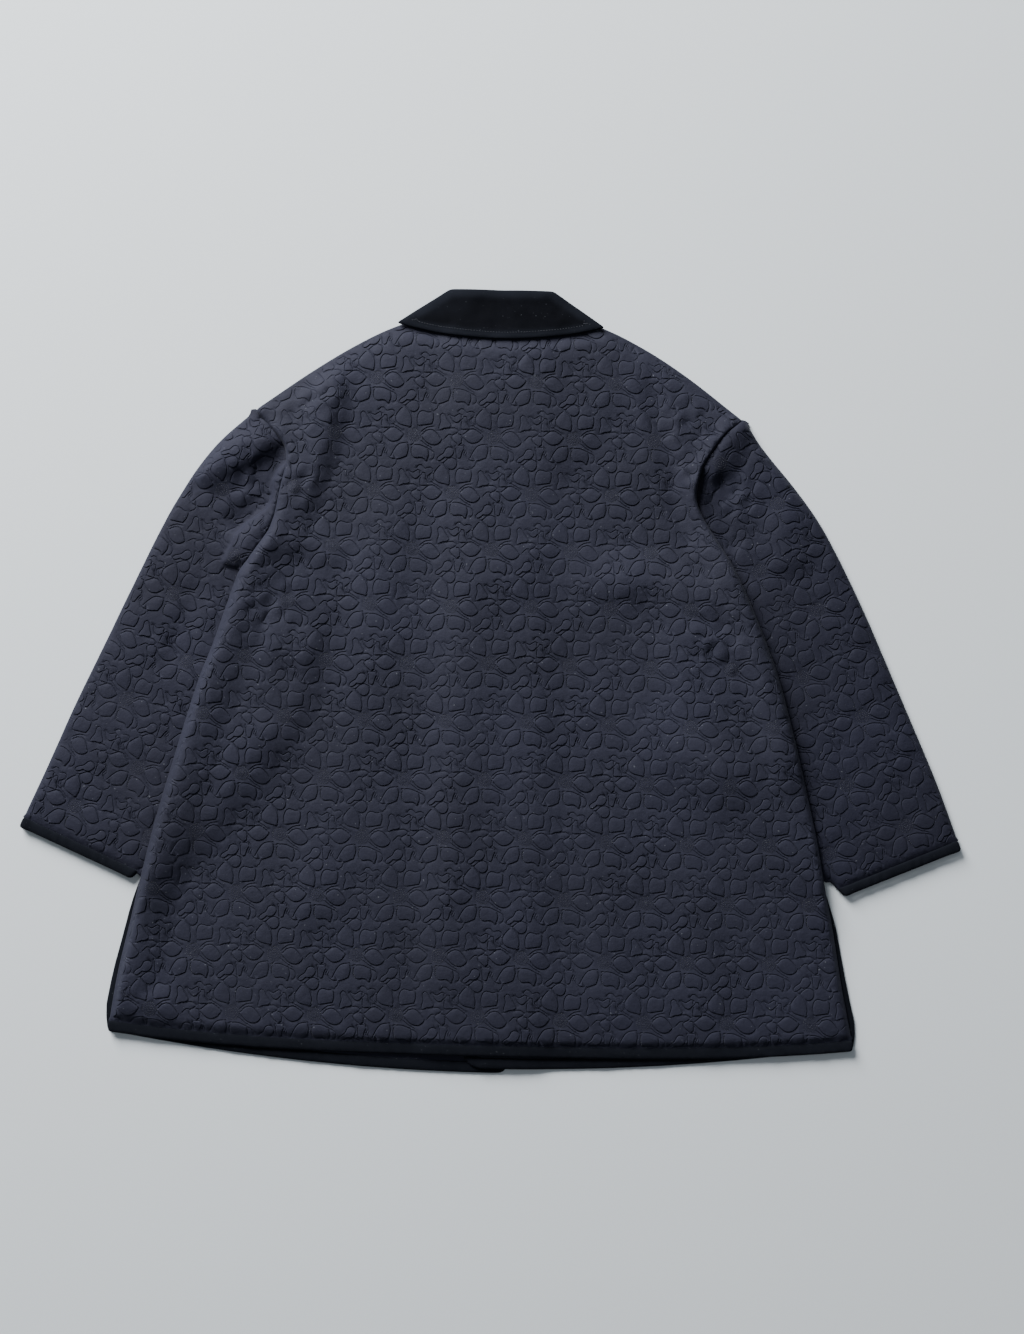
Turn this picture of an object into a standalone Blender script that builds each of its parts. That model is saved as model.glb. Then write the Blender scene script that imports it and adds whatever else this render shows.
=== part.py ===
"""A quilted coat with velvet edges, laid flat on its front, so that its back shows.

Metres. +Z is up, +Y runs from the hem to the collar, and +X is the coat's right-hand side as it lies. The
origin is the middle of the ground that the coat covers. Each piece that is cut and sewn on is an object:
the fronts and the lower walls of the sleeves lie on the ground, and the back lies over them all.
"""

import math
from collections import namedtuple

import bmesh
import bpy
import numpy as np
from mathutils import Vector
from mathutils.geometry import delaunay_2d_cdt

LEFT, RIGHT = -1, 1

# Cloth
WALL = 0.0024
SEAM = 0.0003
EDGE_ROUND = 0.0011
BINDING_WIDTH = 0.0125
BINDING_WALL = 0.0030
FALL_GAP = 0.0015
AIR_AT_EDGE = 0.0009
AIR_INSIDE = 0.0022
AIR_REACH = 0.030

# Where a plain face bends by more than this over this step, it gets closer points
BENT = 0.0006
BENT_STEP = 0.012
FINE_GRID = 0.020
COARSE_GRID = 0.075
HIDDEN_GRID = 0.045
COLLAR_GRID = 0.016
GRID_MARGIN = 0.006
OUTLINE_STEP = 0.0145

# Quilting: a flower with six petals, in rows that are set half a flower apart
FLOWER_PITCH = 0.0916
ROW_PITCH = 0.0659
BACK_FLOWER = (0.0408, 0.3374)
SLEEVE_FLOWER = {LEFT: (-0.4000, -0.1195), RIGHT: (0.4000, -0.1195)}
PUFF = 0.0018
PETALS = 6
PETAL_NEAR = 0.0165
PETAL_FAR = 0.0275
PETAL_HALF_WIDTH = 0.0048
SWIRL_STEP = 0.0140
QUILT_MARGIN = 0.006
COLLAR_MARGIN = 0.007
BESIDE_COLLAR = 0.0025
BESIDE_BODY = 0.0015
CHANNEL_NEAR = 0.0125
CHANNEL_FAR = 0.0300

# Back
NECK_HALF = 0.100
NECK_SIDE_Y = 0.412
NECK_BACK_Y = 0.402
NECK_FRONT_Y = 0.338
BACK_HEM_Y = -0.4170
BACK_HEM_RISE = 0.0160
BACK_HEM_HALF = 0.412
VENT_TOP_Y = -0.238
UNDERARM_Y = 0.108

# How far out the body's edge lies on each side, from the shoulder tip down to the hem
Side = namedtuple("Side", "y left right")
BODY_SIDE = [
    Side(y=0.298, left=0.286, right=0.282),
    Side(y=0.280, left=0.269, right=0.259),
    Side(y=0.257, left=0.249, right=0.243),
    Side(y=0.240, left=0.246, right=0.233),
    Side(y=0.206, left=0.253, right=0.227),
    Side(y=0.180, left=0.257, right=0.237),
    Side(y=0.156, left=0.264, right=0.252),
    Side(y=0.133, left=0.278, right=0.266),
    Side(y=0.108, left=0.295, right=0.279),
    Side(y=0.072, left=0.306, right=0.295),
    Side(y=0.022, left=0.321, right=0.315),
    Side(y=-0.018, left=0.335, right=0.328),
    Side(y=-0.093, left=0.355, right=0.347),
    Side(y=-0.177, left=0.376, right=0.366),
    Side(y=-0.239, left=0.389, right=0.377),
    Side(y=-0.285, left=0.399, right=0.387),
    Side(y=-0.346, left=0.411, right=0.397),
    Side(y=-0.401, left=0.418, right=0.408),
]
Point = namedtuple("Point", "x y")
SHOULDER = [Point(0.100, 0.412), Point(0.158, 0.386), Point(0.215, 0.350), Point(0.283, 0.298)]

# Fronts
FRONT_LAP = 0.026
FRONT_CORNER_RADIUS = {LEFT: 0.010, RIGHT: 0.024}
FRONT_HEM_Y = {LEFT: -0.4480, RIGHT: -0.4435}
FRONT_HEM_RISE = 0.0190
FRONT_HEM_AT = 0.305
LAP_RAMP = 0.034
LAP_LEVEL = FRONT_LAP + 0.020
# How far the front's vent edge stands out past the back's
Vent = namedtuple("Vent", "y out")
VENT_EDGE = [Vent(-0.238, 0.000), Vent(-0.275, 0.0045), Vent(-0.335, 0.0060), Vent(-0.385, 0.0075), Vent(-0.412, 0.002)]

# Sleeves
SLEEVE_TURN = math.radians(22)
SLEEVE_AT_ARMHOLE = 0.0064
SLEEVE_DEEP = 0.0078
SLEEVE_ROUND = 0.0038
SLEEVE_SWELL = 0.040
HOLLOW_INSET = 0.0075
HOLLOW_PAST = 0.008
SLEEVE_OUTER = [
    Side(y=0.298, left=0.286, right=0.282),
    Side(y=0.262, left=0.324, right=0.308),
    Side(y=0.227, left=0.350, right=0.337),
    Side(y=0.192, left=0.370, right=0.363),
    Side(y=0.158, left=0.387, right=0.383),
    Side(y=0.089, left=0.417, right=0.417),
    Side(y=0.020, left=0.446, right=0.447),
    Side(y=-0.048, left=0.475, right=0.476),
    Side(y=-0.115, left=0.501, right=0.504),
    Side(y=-0.189, left=0.531, right=0.531),
]
SLEEVE_INNER = [
    Side(y=0.108, left=0.295, right=0.279),
    Side(y=0.090, left=0.246, right=0.238),
    Side(y=0.045, left=0.229, right=0.222),
    Side(y=-0.010, left=0.237, right=0.230),
    Side(y=-0.070, left=0.262, right=0.255),
    Side(y=-0.135, left=0.305, right=0.299),
    Side(y=-0.195, left=0.355, right=0.352),
    Side(y=-0.244, left=0.402, right=0.400),
]
# The sleeve's cloth is pushed up beside the left armhole: the edge of that fold, from top to bottom
BUNCH_EDGE = [
    Point(-0.256, 0.236),
    Point(-0.271, 0.214),
    Point(-0.274, 0.184),
    Point(-0.300, 0.163),
    Point(-0.313, 0.146),
    Point(-0.319, 0.118),
]
BUNCH_HIGH = 0.0050
BUNCH_STEP = 0.0070
BUNCH_TOP_Y = 0.250

# The body climbs over the sleeves, the collar's leaves and the fronts' lap
OVER_SLEEVE = 0.0088
CLIMB_FROM = 0.008
CLIMB_TO = 0.054
CLIMB_TOP_Y = 0.178
CLIMB_FULL_Y = 0.116
CLIMB_LOW_FULL_Y = -0.250
CLIMB_LOW_Y = -0.325
OVER_LEAF = 0.0034
LEAF_LEVEL = 0.012
LEAF_RAMP = 0.030
OVER_LAP = 0.0035

# Soft folds of the back, as ridges with rounded sides
Fold = namedtuple("Fold", "x0 y0 x1 y1 half_width high")
BACK_FOLDS = [
    Fold(x0=-0.200, y0=0.345, x1=-0.244, y1=0.215, half_width=0.030, high=0.0046),
    Fold(x0=0.160, y0=0.350, x1=0.210, y1=0.215, half_width=0.032, high=0.0040),
    Fold(x0=-0.130, y0=0.170, x1=-0.185, y1=-0.260, half_width=0.045, high=0.0030),
    Fold(x0=-0.010, y0=0.250, x1=-0.045, y1=-0.330, half_width=0.050, high=0.0026),
    Fold(x0=0.105, y0=0.105, x1=0.245, y1=0.085, half_width=0.034, high=0.0046),
    Fold(x0=0.180, y0=-0.060, x1=0.265, y1=-0.120, half_width=0.045, high=0.0034),
    Fold(x0=0.110, y0=-0.180, x1=0.150, y1=-0.360, half_width=0.050, high=0.0024),
]

# Collar
COLLAR_END = Point(0.1215, 0.4045)
COLLAR_FOLD = Point(0.0600, 0.4460)
COLLAR_EDGE_Y = 0.3870
COLLAR_SHIFT = -0.003
COLLAR_WALL = 0.0030
STAND_BACK_OFF = 0.0035
LEAF_POINT = Point(0.066, 0.262)
LEAF_FRONT = Point(0.0025, 0.326)
LEAF_ROLL = Point(0.0025, 0.348)

NAVY = (0.026, 0.031, 0.050, 1.0)
VELVET = (0.006, 0.008, 0.014, 1.0)

parts = bpy.data.collections.new("quilted_coat")
cutters = bpy.data.collections.new("cutters")


def clear_scene():
    for thing in list(bpy.data.objects):
        bpy.data.objects.remove(thing, do_unlink=True)
    for collection in (parts, cutters):
        bpy.context.scene.collection.children.link(collection)


def cloth_material(name, colour, roughness):
    material = bpy.data.materials.new(name)
    material.use_nodes = True
    shader = material.node_tree.nodes["Principled BSDF"]
    shader.inputs["Base Color"].default_value = colour
    shader.inputs["Roughness"].default_value = roughness
    shader.inputs["Metallic"].default_value = 0.0
    return material


# Lines in plan


def smooth_line(points, spacing):
    """Points about `spacing` apart on a smooth curve through the given ones."""
    given = np.asarray(points, float)
    ends = np.vstack([2 * given[0] - given[1], given, 2 * given[-1] - given[-2]])
    t = np.linspace(0, 1, 20, endpoint=False)[:, None]
    runs = []
    for a, b, c, d in zip(ends, ends[1:], ends[2:], ends[3:]):
        bend = (2 * a - 5 * b + 4 * c - d) * t**2 + (3 * b - a - 3 * c + d) * t**3
        runs.append(b + 0.5 * ((c - a) * t + bend))
    return spaced(np.vstack([*runs, given[-1:]]), spacing)


def spaced(line, spacing):
    steps = np.linalg.norm(np.diff(line, axis=0), axis=1)
    along = np.concatenate([[0], np.cumsum(steps)])
    count = max(2, round(along[-1] / spacing) + 1)
    at = np.linspace(0, along[-1], count)
    return np.column_stack([np.interp(at, along, line[:, k]) for k in range(2)])


def joined(*lines):
    """One closed outline from lines that follow one another, each point once."""
    kept = []
    for point in np.vstack(lines):
        if not kept or np.linalg.norm(point - kept[-1]) > 1e-4:
            kept.append(point)
    if np.linalg.norm(kept[0] - kept[-1]) < 1e-4:
        kept.pop()
    return np.array(kept)


def side_points(table, side):
    name = "left" if side == LEFT else "right"
    return [(side * getattr(row, name), row.y) for row in table]


def side_line(table, side, spacing):
    return smooth_line(side_points(table, side), spacing)


def mirrored(points, side):
    return [(side * p[0], p[1]) for p in points]


def moved_in(line, distance, closed=True):
    """The line moved to its left, which is inwards on an outline that runs anticlockwise."""
    before = np.roll(line, 1, axis=0)
    after = np.roll(line, -1, axis=0)
    if not closed:
        before[0] = 2 * line[0] - line[1]
        after[-1] = 2 * line[-1] - line[-2]
    into, out = unit(line - before), unit(after - line)
    normal_in = np.column_stack([-into[:, 1], into[:, 0]])
    normal_out = np.column_stack([-out[:, 1], out[:, 0]])
    middle = unit(normal_in + normal_out)
    stretch = np.clip((middle * normal_in).sum(1), 0.5, 1.0)
    return line + middle * (distance / stretch)[:, None]


def unit(vectors):
    return vectors / np.maximum(np.linalg.norm(vectors, axis=1), 1e-12)[:, None]


def distance_to(line, at, closed=False):
    """How far each point lies from the line."""
    start = line
    end = np.roll(line, -1, axis=0)
    if not closed:
        start, end = start[:-1], end[:-1]
    best = np.full(len(at), np.inf)
    for a, b in zip(start, end):
        run = b - a
        share = np.clip(((at - a) @ run) / max(run @ run, 1e-12), 0, 1)
        best = np.minimum(best, np.linalg.norm(at - a - share[:, None] * run, axis=1))
    return best


def inside(outline, at):
    """Which points the outline holds."""
    found = np.zeros(len(at), bool)
    for a, b in zip(outline, np.roll(outline, -1, axis=0)):
        crosses = (a[1] > at[:, 1]) != (b[1] > at[:, 1])
        rise = b[1] - a[1] if b[1] != a[1] else 1e-12
        found ^= crosses & (at[:, 0] < a[0] + (at[:, 1] - a[1]) / rise * (b[0] - a[0]))
    return found


def ease(share):
    """0 below 0, 1 above 1, and a smooth climb between."""
    share = np.clip(share, 0, 1)
    return share * share * (3 - 2 * share)


# Outlines


def back_hem_y(x):
    return BACK_HEM_Y + BACK_HEM_RISE * (abs(x) / BACK_HEM_HALF) ** 3


def front_hem_y(x, side):
    return FRONT_HEM_Y[side] + FRONT_HEM_RISE * (x / FRONT_HEM_AT) ** 2


def shoulder_line(side, spacing):
    """From the neck out to the shoulder tip."""
    tip = side_points(BODY_SIDE, side)[0]
    points = mirrored(SHOULDER[:-1], side)
    return smooth_line([*points, tip], spacing)


def neck_line(depth_y, spacing):
    """From the right end of the neck to the left end."""
    steps = np.linspace(-1, 1, 40)
    x = -NECK_HALF * steps
    y = depth_y + (NECK_SIDE_Y - depth_y) * np.abs(steps) ** 2.2
    return spaced(np.column_stack([x, y]), spacing)


def back_outline(spacing):
    left = body_side(LEFT, spacing)
    right = body_side(RIGHT, spacing)
    x = np.linspace(left[-1, 0], right[-1, 0], 60)
    hem = spaced(np.column_stack([x, [back_hem_y(v) for v in x]]), spacing * 1.6)
    right[-1], left[-1] = hem[-1], hem[0]
    return joined(
        hem,
        right[::-1],
        shoulder_line(RIGHT, spacing)[::-1],
        neck_line(NECK_BACK_Y, spacing * 1.6),
        shoulder_line(LEFT, spacing),
        left,
    )


def vent_line(side, spacing):
    """The finished edge of a front beside the vent, from the vent's top down to the hem's corner."""
    body = np.array(side_points(BODY_SIDE, side))
    y = np.linspace(VENT_TOP_Y, VENT_EDGE[-1].y, 24)
    edge = np.interp(-y, -body[:, 1], side * body[:, 0])
    out = np.interp(-y, [-row.y for row in VENT_EDGE], [row.out for row in VENT_EDGE])
    return spaced(np.column_stack([side * (edge + out), y]), spacing)


def front_edge(side, spacing):
    """A front's finished edge: down the vent, along the hem, round the corner and up to the neck."""
    vent = vent_line(side, spacing)
    radius = FRONT_CORNER_RADIUS[side]
    lap_x = -side * FRONT_LAP
    x = np.linspace(vent[-1, 0], lap_x + side * radius, 60)
    hem = spaced(np.column_stack([x, [front_hem_y(v, side) for v in x]]), spacing * 1.3)
    hem = hem[1:]
    turn = np.linspace(0, math.pi / 2, 7)
    centre = np.array([lap_x + side * radius, hem[-1, 1] + radius])
    corner = centre + radius * np.column_stack([-side * np.sin(turn), -np.cos(turn)])
    top = NECK_FRONT_Y + 0.004
    up = spaced(np.array([corner[-1], [lap_x, top]]), spacing * 1.6)
    return joined_open(vent, hem, corner, up)


def joined_open(*lines):
    kept = []
    for point in np.vstack(lines):
        if not kept or np.linalg.norm(point - kept[-1]) > 1e-3:
            kept.append(point)
    return np.array(kept)


def beside(edge, side_in, width):
    """The line `width` inside an open edge, without the points that a tight corner would fold over."""
    inner = moved_in(edge, side_in * width, closed=False)
    return inner[distance_to(edge, inner) > width * 0.985]


def front_outline(side, spacing):
    """The quilted cloth of a front, inside its binding."""
    edge = front_edge(side, spacing)
    inner = beside(edge, -side, BINDING_WIDTH + SEAM)
    side_up = body_side(side, spacing)
    side_up = side_up[side_up[:, 1] > VENT_TOP_Y + 0.006]
    neck = neck_line(NECK_FRONT_Y, spacing)
    neck = neck[side * neck[:, 0] > -FRONT_LAP + BINDING_WIDTH]
    if side == LEFT:
        neck = neck[::-1]
    line = joined(shoulder_line(side, spacing), side_up[1:], edge[:1], inner, neck[::-1])
    line = line if signed_area(line) > 0 else line[::-1]
    return moved_in(line, SEAM)


def signed_area(line):
    after = np.roll(line, -1, axis=0)
    return 0.5 * (line[:, 0] * after[:, 1] - line[:, 1] * after[:, 0]).sum()


def anticlockwise(line):
    return line if signed_area(line) > 0 else line[::-1]


def strip_outline(edge, side_in, width):
    """A band of the given width along the inner side of an open edge."""
    return anticlockwise(joined(edge, beside(edge, side_in, width)[::-1]))


def armhole(side, spacing):
    """The seam between the body and the sleeve, from the shoulder tip to the underarm."""
    return side_line([row for row in BODY_SIDE if row.y >= UNDERARM_Y], side, spacing)


def flank(side, spacing):
    """The body's edge from the underarm to the hem."""
    return side_line([row for row in BODY_SIDE if row.y <= UNDERARM_Y], side, spacing)


def body_side(side, spacing):
    return joined_open(armhole(side, spacing), flank(side, spacing))


def resampled(line, count):
    steps = np.linalg.norm(np.diff(line, axis=0), axis=1)
    along = np.concatenate([[0], np.cumsum(steps)])
    at = np.linspace(0, along[-1], count)
    return np.column_stack([np.interp(at, along, line[:, k]) for k in range(2)])


def sleeve_edges(side, cut_back=0.0):
    """The sleeve's outer and inner folded edges, `cut_back` short of the cuff's finished edge."""
    lines = [side_line(table, side, 0.004) for table in (SLEEVE_OUTER, SLEEVE_INNER)]
    return [shortened(line, cut_back) if cut_back else line for line in lines]


def sleeve_outline(side, spacing, cut_back=0.0):
    outer, inner = sleeve_edges(side, cut_back)
    seam = armhole(side, spacing) + np.array([side * SEAM, 0])
    cuff = spaced(np.array([outer[-1], inner[-1]]), spacing)
    outer, inner = spaced(outer, spacing)[1:], spaced(inner, spacing)[1:]
    return anticlockwise(joined(seam, inner, cuff[::-1], outer[::-1]))


def shortened(line, length):
    steps = np.linalg.norm(np.diff(line, axis=0), axis=1)
    along = np.concatenate([[0], np.cumsum(steps)])
    keep = along < along[-1] - length
    last = [np.interp(along[-1] - length, along, line[:, k]) for k in range(2)]
    return np.vstack([line[keep], last])


# Heights


SLEEVES = {side: sleeve_outline(side, 0.012) for side in (LEFT, RIGHT)}


def leaf_outline(side):
    """A front leaf of the collar, which lies on the ground under its front."""
    roll_top = (COLLAR_FOLD.x, COLLAR_FOLD.y - 0.004)
    points = [
        (LEAF_ROLL.x, LEAF_ROLL.y),
        (LEAF_FRONT.x, LEAF_FRONT.y),
        (LEAF_POINT.x, LEAF_POINT.y),
        (COLLAR_END.x - 0.012, 0.335),
        (COLLAR_END.x - 0.002, COLLAR_END.y - 0.004),
        roll_top,
    ]
    corners = np.array([(side * x + COLLAR_SHIFT, y) for x, y in points])
    return anticlockwise(spaced_closed(corners, 0.022))


def spaced_closed(corners, spacing):
    runs = [spaced(np.array([a, b]), spacing) for a, b in zip(corners, np.roll(corners, -1, axis=0))]
    return joined(*runs)


LEAVES = {side: leaf_outline(side) for side in (LEFT, RIGHT)}


def over_sleeves(at):
    """How high the body is carried by the sleeves that lie under its sides."""
    low = ease((CLIMB_LOW_Y - at[:, 1]) / (CLIMB_LOW_Y - CLIMB_LOW_FULL_Y))
    high = ease((CLIMB_TOP_Y - at[:, 1]) / (CLIMB_TOP_Y - CLIMB_FULL_Y))
    total = np.zeros(len(at))
    for sleeve in SLEEVES.values():
        away = np.where(inside(sleeve, at), 0.0, distance_to(sleeve, at, closed=True))
        total += 1 - ease((away - CLIMB_FROM) / (CLIMB_TO - CLIMB_FROM))
    return OVER_SLEEVE * np.minimum(total, 1) * low * high


def over_leaves(at):
    total = np.zeros(len(at))
    for leaf in LEAVES.values():
        away = np.where(inside(leaf, at), 0.0, distance_to(leaf, at, closed=True))
        total = np.maximum(total, 1 - ease((away - LEAF_LEVEL) / LEAF_RAMP))
    return OVER_LEAF * total


def over_lap(at, both_sides):
    """How high the layer over the fronts' lap is carried by the one on the ground."""
    x = at[:, 0]
    right = 1 - ease((x - LAP_LEVEL) / LAP_RAMP)
    left = 1 - ease((-x - LAP_LEVEL) / LAP_RAMP) if both_sides else 1.0
    return OVER_LAP * right * left


def front_under(side):
    def height(at):
        lap = over_lap(at, both_sides=False) if side == RIGHT else 0
        return over_sleeves(at) + over_leaves(at) + lap

    return height


def folds(at):
    total = np.zeros(len(at))
    for fold in BACK_FOLDS:
        line = np.array([(fold.x0, fold.y0), (fold.x1, fold.y1)])
        away = distance_to(line, at)
        total += fold.high * (1 - ease(away / fold.half_width))
    return total


def back_under(at, outline):
    rim = distance_to(outline, at, closed=True)
    rise = ease(rim / AIR_REACH)
    air = AIR_AT_EDGE + (AIR_INSIDE - AIR_AT_EDGE) * rise + folds(at) * ease(rim / 0.045)
    carried = over_sleeves(at) + over_leaves(at) + over_lap(at, both_sides=True)
    return carried + BINDING_WALL + air


def sleeve_swell(side):
    seam = armhole(side, 0.006)

    def height(at):
        swell = ease(distance_to(seam, at) / SLEEVE_SWELL)
        return SLEEVE_AT_ARMHOLE + (SLEEVE_DEEP - SLEEVE_AT_ARMHOLE) * swell

    return height


def sleeve_over(side):
    swell = sleeve_swell(side)
    bunch = np.array(BUNCH_EDGE)
    pushed_up = joined(bunch, armhole(side, 0.006)[::-1])

    def height(at):
        top = swell(at)
        if side == LEFT:
            within = inside(pushed_up, at)
            deep = np.where(within, distance_to(bunch, at), 0)
            ends = ease((BUNCH_TOP_Y - at[:, 1]) / 0.05) * ease((at[:, 1] - UNDERARM_Y - 0.003) / 0.018)
            top = top + BUNCH_HIGH * ease(deep / BUNCH_STEP) * ends
        return top

    return height


# Solids


def triangles_between(ring, points):
    """Triangles over the ring's inside, as indices into the ring's points and then the others."""
    every = [Vector(p) for p in np.vstack([ring, points])] if len(points) else [Vector(p) for p in ring]
    _, _, faces, origin, _, _ = delaunay_2d_cdt(every, [], [list(range(len(ring)))], 1, 1e-7)
    return [[origin[i][0] for i in face] for face in faces]


def wall_solid(name, outline, under, over, upper=None, lower=None, material=None, rounding=EDGE_ROUND, relief=None):
    """A closed wall of cloth: `under` and `over` give its two faces' heights, and its edge is rounded.

    `upper` and `lower` are the points inside the outline that each face takes, and `relief` raises the
    upper ones over the wall."""
    inner = moved_in(outline, rounding)
    upper = np.zeros((0, 2)) if upper is None else upper
    lower = np.zeros((0, 2)) if lower is None else lower
    top_z = np.concatenate([over(inner), over(upper) if len(upper) else []])
    if relief is not None:
        top_z[len(inner) :] += relief
    low_z = np.concatenate([under(inner), under(lower) if len(lower) else []])
    edge_z = 0.5 * (under(outline) + over(outline))
    mesh = bmesh.new()
    top = [mesh.verts.new((x, y, z)) for (x, y), z in zip(np.vstack([inner, upper]), top_z)]
    nose = [mesh.verts.new((x, y, z)) for (x, y), z in zip(outline, edge_z)]
    low = [mesh.verts.new((x, y, z)) for (x, y), z in zip(np.vstack([inner, lower]), low_z)]
    for face in triangles_between(inner, upper):
        mesh.faces.new([top[i] for i in face])
    for face in triangles_between(inner, lower):
        mesh.faces.new([low[i] for i in reversed(face)])
    count = len(outline)
    for i in range(count):
        j = (i + 1) % count
        mesh.faces.new([top[i], nose[i], nose[j], top[j]])
        mesh.faces.new([nose[i], low[i], low[j], nose[j]])
    bmesh.ops.triangulate(mesh, faces=mesh.faces[:])
    data = bpy.data.meshes.new(name)
    mesh.to_mesh(data)
    mesh.free()
    thing = bpy.data.objects.new(name, data)
    parts.objects.link(thing)
    if material:
        data.materials.append(material)
    return thing


def level(value):
    return lambda at: np.full(len(at), value)


def raised(base, by):
    return lambda at: base(at) + by


def kept_inside(points, outline, margin):
    points = np.asarray(points)
    return points[inside(outline, points) & (distance_to(outline, points, closed=True) > margin)]


def grid_points(outline, spacing, margin):
    """A staggered grid inside the outline."""
    low, high = outline.min(0), outline.max(0)
    rows = np.arange(math.floor(low[1] / spacing), math.ceil(high[1] / spacing) + 1)
    columns = np.arange(math.floor(low[0] / spacing) - 1, math.ceil(high[0] / spacing) + 1)
    grid = [((column + 0.5 * (row % 2)) * spacing, row * spacing) for row in rows for column in columns]
    return kept_inside(grid, outline, margin)


def plain_points(outline, bent):
    """Grid points that lie close together where the face is bent, and far apart elsewhere."""
    fine = grid_points(outline, FINE_GRID, GRID_MARGIN)
    coarse = grid_points(outline, COARSE_GRID, 0.4 * COARSE_GRID)
    fine, coarse = fine[bent(fine)], coarse[~bent(coarse)]
    if len(fine) == 0:
        return coarse
    gap = np.array([np.linalg.norm(fine - point, axis=1).min() for point in coarse])
    return np.vstack([fine, coarse[gap > 0.8 * FINE_GRID]])


def climbing(height):
    """Which points lie on a slope rather than on a level stretch."""

    def bent(at):
        z = height(at)
        steps = ((BENT_STEP, 0), (-BENT_STEP, 0), (0, BENT_STEP), (0, -BENT_STEP))
        around = [height(at + np.array(step)) for step in steps]
        change = np.max([np.abs(a - z) for a in around], axis=0)
        return change > BENT

    return bent


def flower_points(turn=0.0):
    """One flower of the quilting about its middle: x, y and 1 on a petal or 0 on a stitch line."""
    rows = [(0, 0, 0)]
    for k in range(PETALS):
        petal = math.tau * k / PETALS
        channel = petal + math.pi / PETALS
        along = np.array([math.cos(petal), math.sin(petal)])
        across = np.array([-along[1], along[0]])
        rows.append((*(PETAL_NEAR * along), 1))
        for way in (-1, 1):
            rows.append((*(PETAL_FAR * along + way * PETAL_HALF_WIDTH * across), 1))
        for reach in (CHANNEL_NEAR, CHANNEL_FAR):
            rows.append((reach * math.cos(channel), reach * math.sin(channel), 0))
    # The small swirls between two flowers of a row
    half = FLOWER_PITCH / 2
    rows += [(half, SWIRL_STEP, 1), (half, 0, 0), (half, -SWIRL_STEP, 1)]
    rows = np.array(rows)
    c, s = math.cos(turn), math.sin(turn)
    return np.column_stack([rows[:, 0] * c - rows[:, 1] * s, rows[:, 0] * s + rows[:, 1] * c, rows[:, 2]])


def quilting(outline, start, turn, keep):
    """Flowers in staggered rows over the outline: the points and how high each is raised."""
    c, s = math.cos(turn), math.sin(turn)
    flower = flower_points(turn)
    reach = np.ptp(outline, axis=0).max()
    rows = range(-math.ceil(reach / ROW_PITCH) - 1, math.ceil(reach / ROW_PITCH) + 2)
    columns = range(-math.ceil(reach / FLOWER_PITCH) - 1, math.ceil(reach / FLOWER_PITCH) + 2)
    found = []
    for row in rows:
        for column in columns:
            x = (column + 0.5 * (row % 2)) * FLOWER_PITCH
            y = row * ROW_PITCH
            middle = np.array([start[0] + x * c - y * s, start[1] + x * s + y * c])
            found.append(flower + [*middle, 0])
    found = np.vstack(found)
    at = found[:, :2]
    good = inside(outline, at) & (distance_to(outline, at, closed=True) > QUILT_MARGIN) & keep(at)
    return at[good], PUFF * found[good, 2]


# Pieces


def build_back(cloth):
    outline = back_outline(OUTLINE_STEP)
    collar = collar_outline(0.010)

    def under(at):
        return back_under(at, outline)

    def clear_of_collar(at):
        return ~inside(collar, at) & (distance_to(collar, at, closed=True) > COLLAR_MARGIN)

    upper, relief = quilting(outline, BACK_FLOWER, 0.0, clear_of_collar)
    beside_collar = kept_inside(moved_in(collar, -BESIDE_COLLAR), outline, 0.5 * QUILT_MARGIN)
    upper = np.vstack([upper, beside_collar])
    relief = np.concatenate([relief, np.zeros(len(beside_collar))])
    lower = plain_points(outline, climbing(under))
    wall_solid("back", outline, under, raised(under, WALL), upper, lower, cloth, relief=relief)


def build_back_binding(velvet):
    outline = back_outline(OUTLINE_STEP)
    left, right = side_points(BODY_SIDE, LEFT)[-1], side_points(BODY_SIDE, RIGHT)[-1]
    x = np.linspace(left[0] - 0.001, right[0] + 0.001, 60)
    top = np.column_stack([x, [back_hem_y(v) - SEAM for v in x]])
    low = top - [0, BINDING_WIDTH]
    spread = anticlockwise(joined(spaced(low, 0.026), spaced(top[::-1], 0.026)))
    cloth_line = back_outline(OUTLINE_STEP)

    def under(at):
        lifted = np.column_stack([at[:, 0], np.maximum(at[:, 1], BACK_HEM_Y + 0.001)])
        return back_under(lifted, cloth_line)

    wall_solid("binding_back_hem", spread, under, raised(under, BINDING_WALL), material=velvet)


def build_front(side, cloth, velvet):
    name = "left" if side == LEFT else "right"
    under = front_under(side)
    outline = front_outline(side, OUTLINE_STEP)
    inner = plain_points(outline, climbing(under))
    wall_solid(f"front_{name}", outline, under, raised(under, WALL), inner, inner, cloth)
    edge = front_edge(side, OUTLINE_STEP)
    band = strip_outline(edge, -side, BINDING_WIDTH)
    wall_solid(f"binding_front_{name}", band, under, raised(under, BINDING_WALL), material=velvet)


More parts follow.
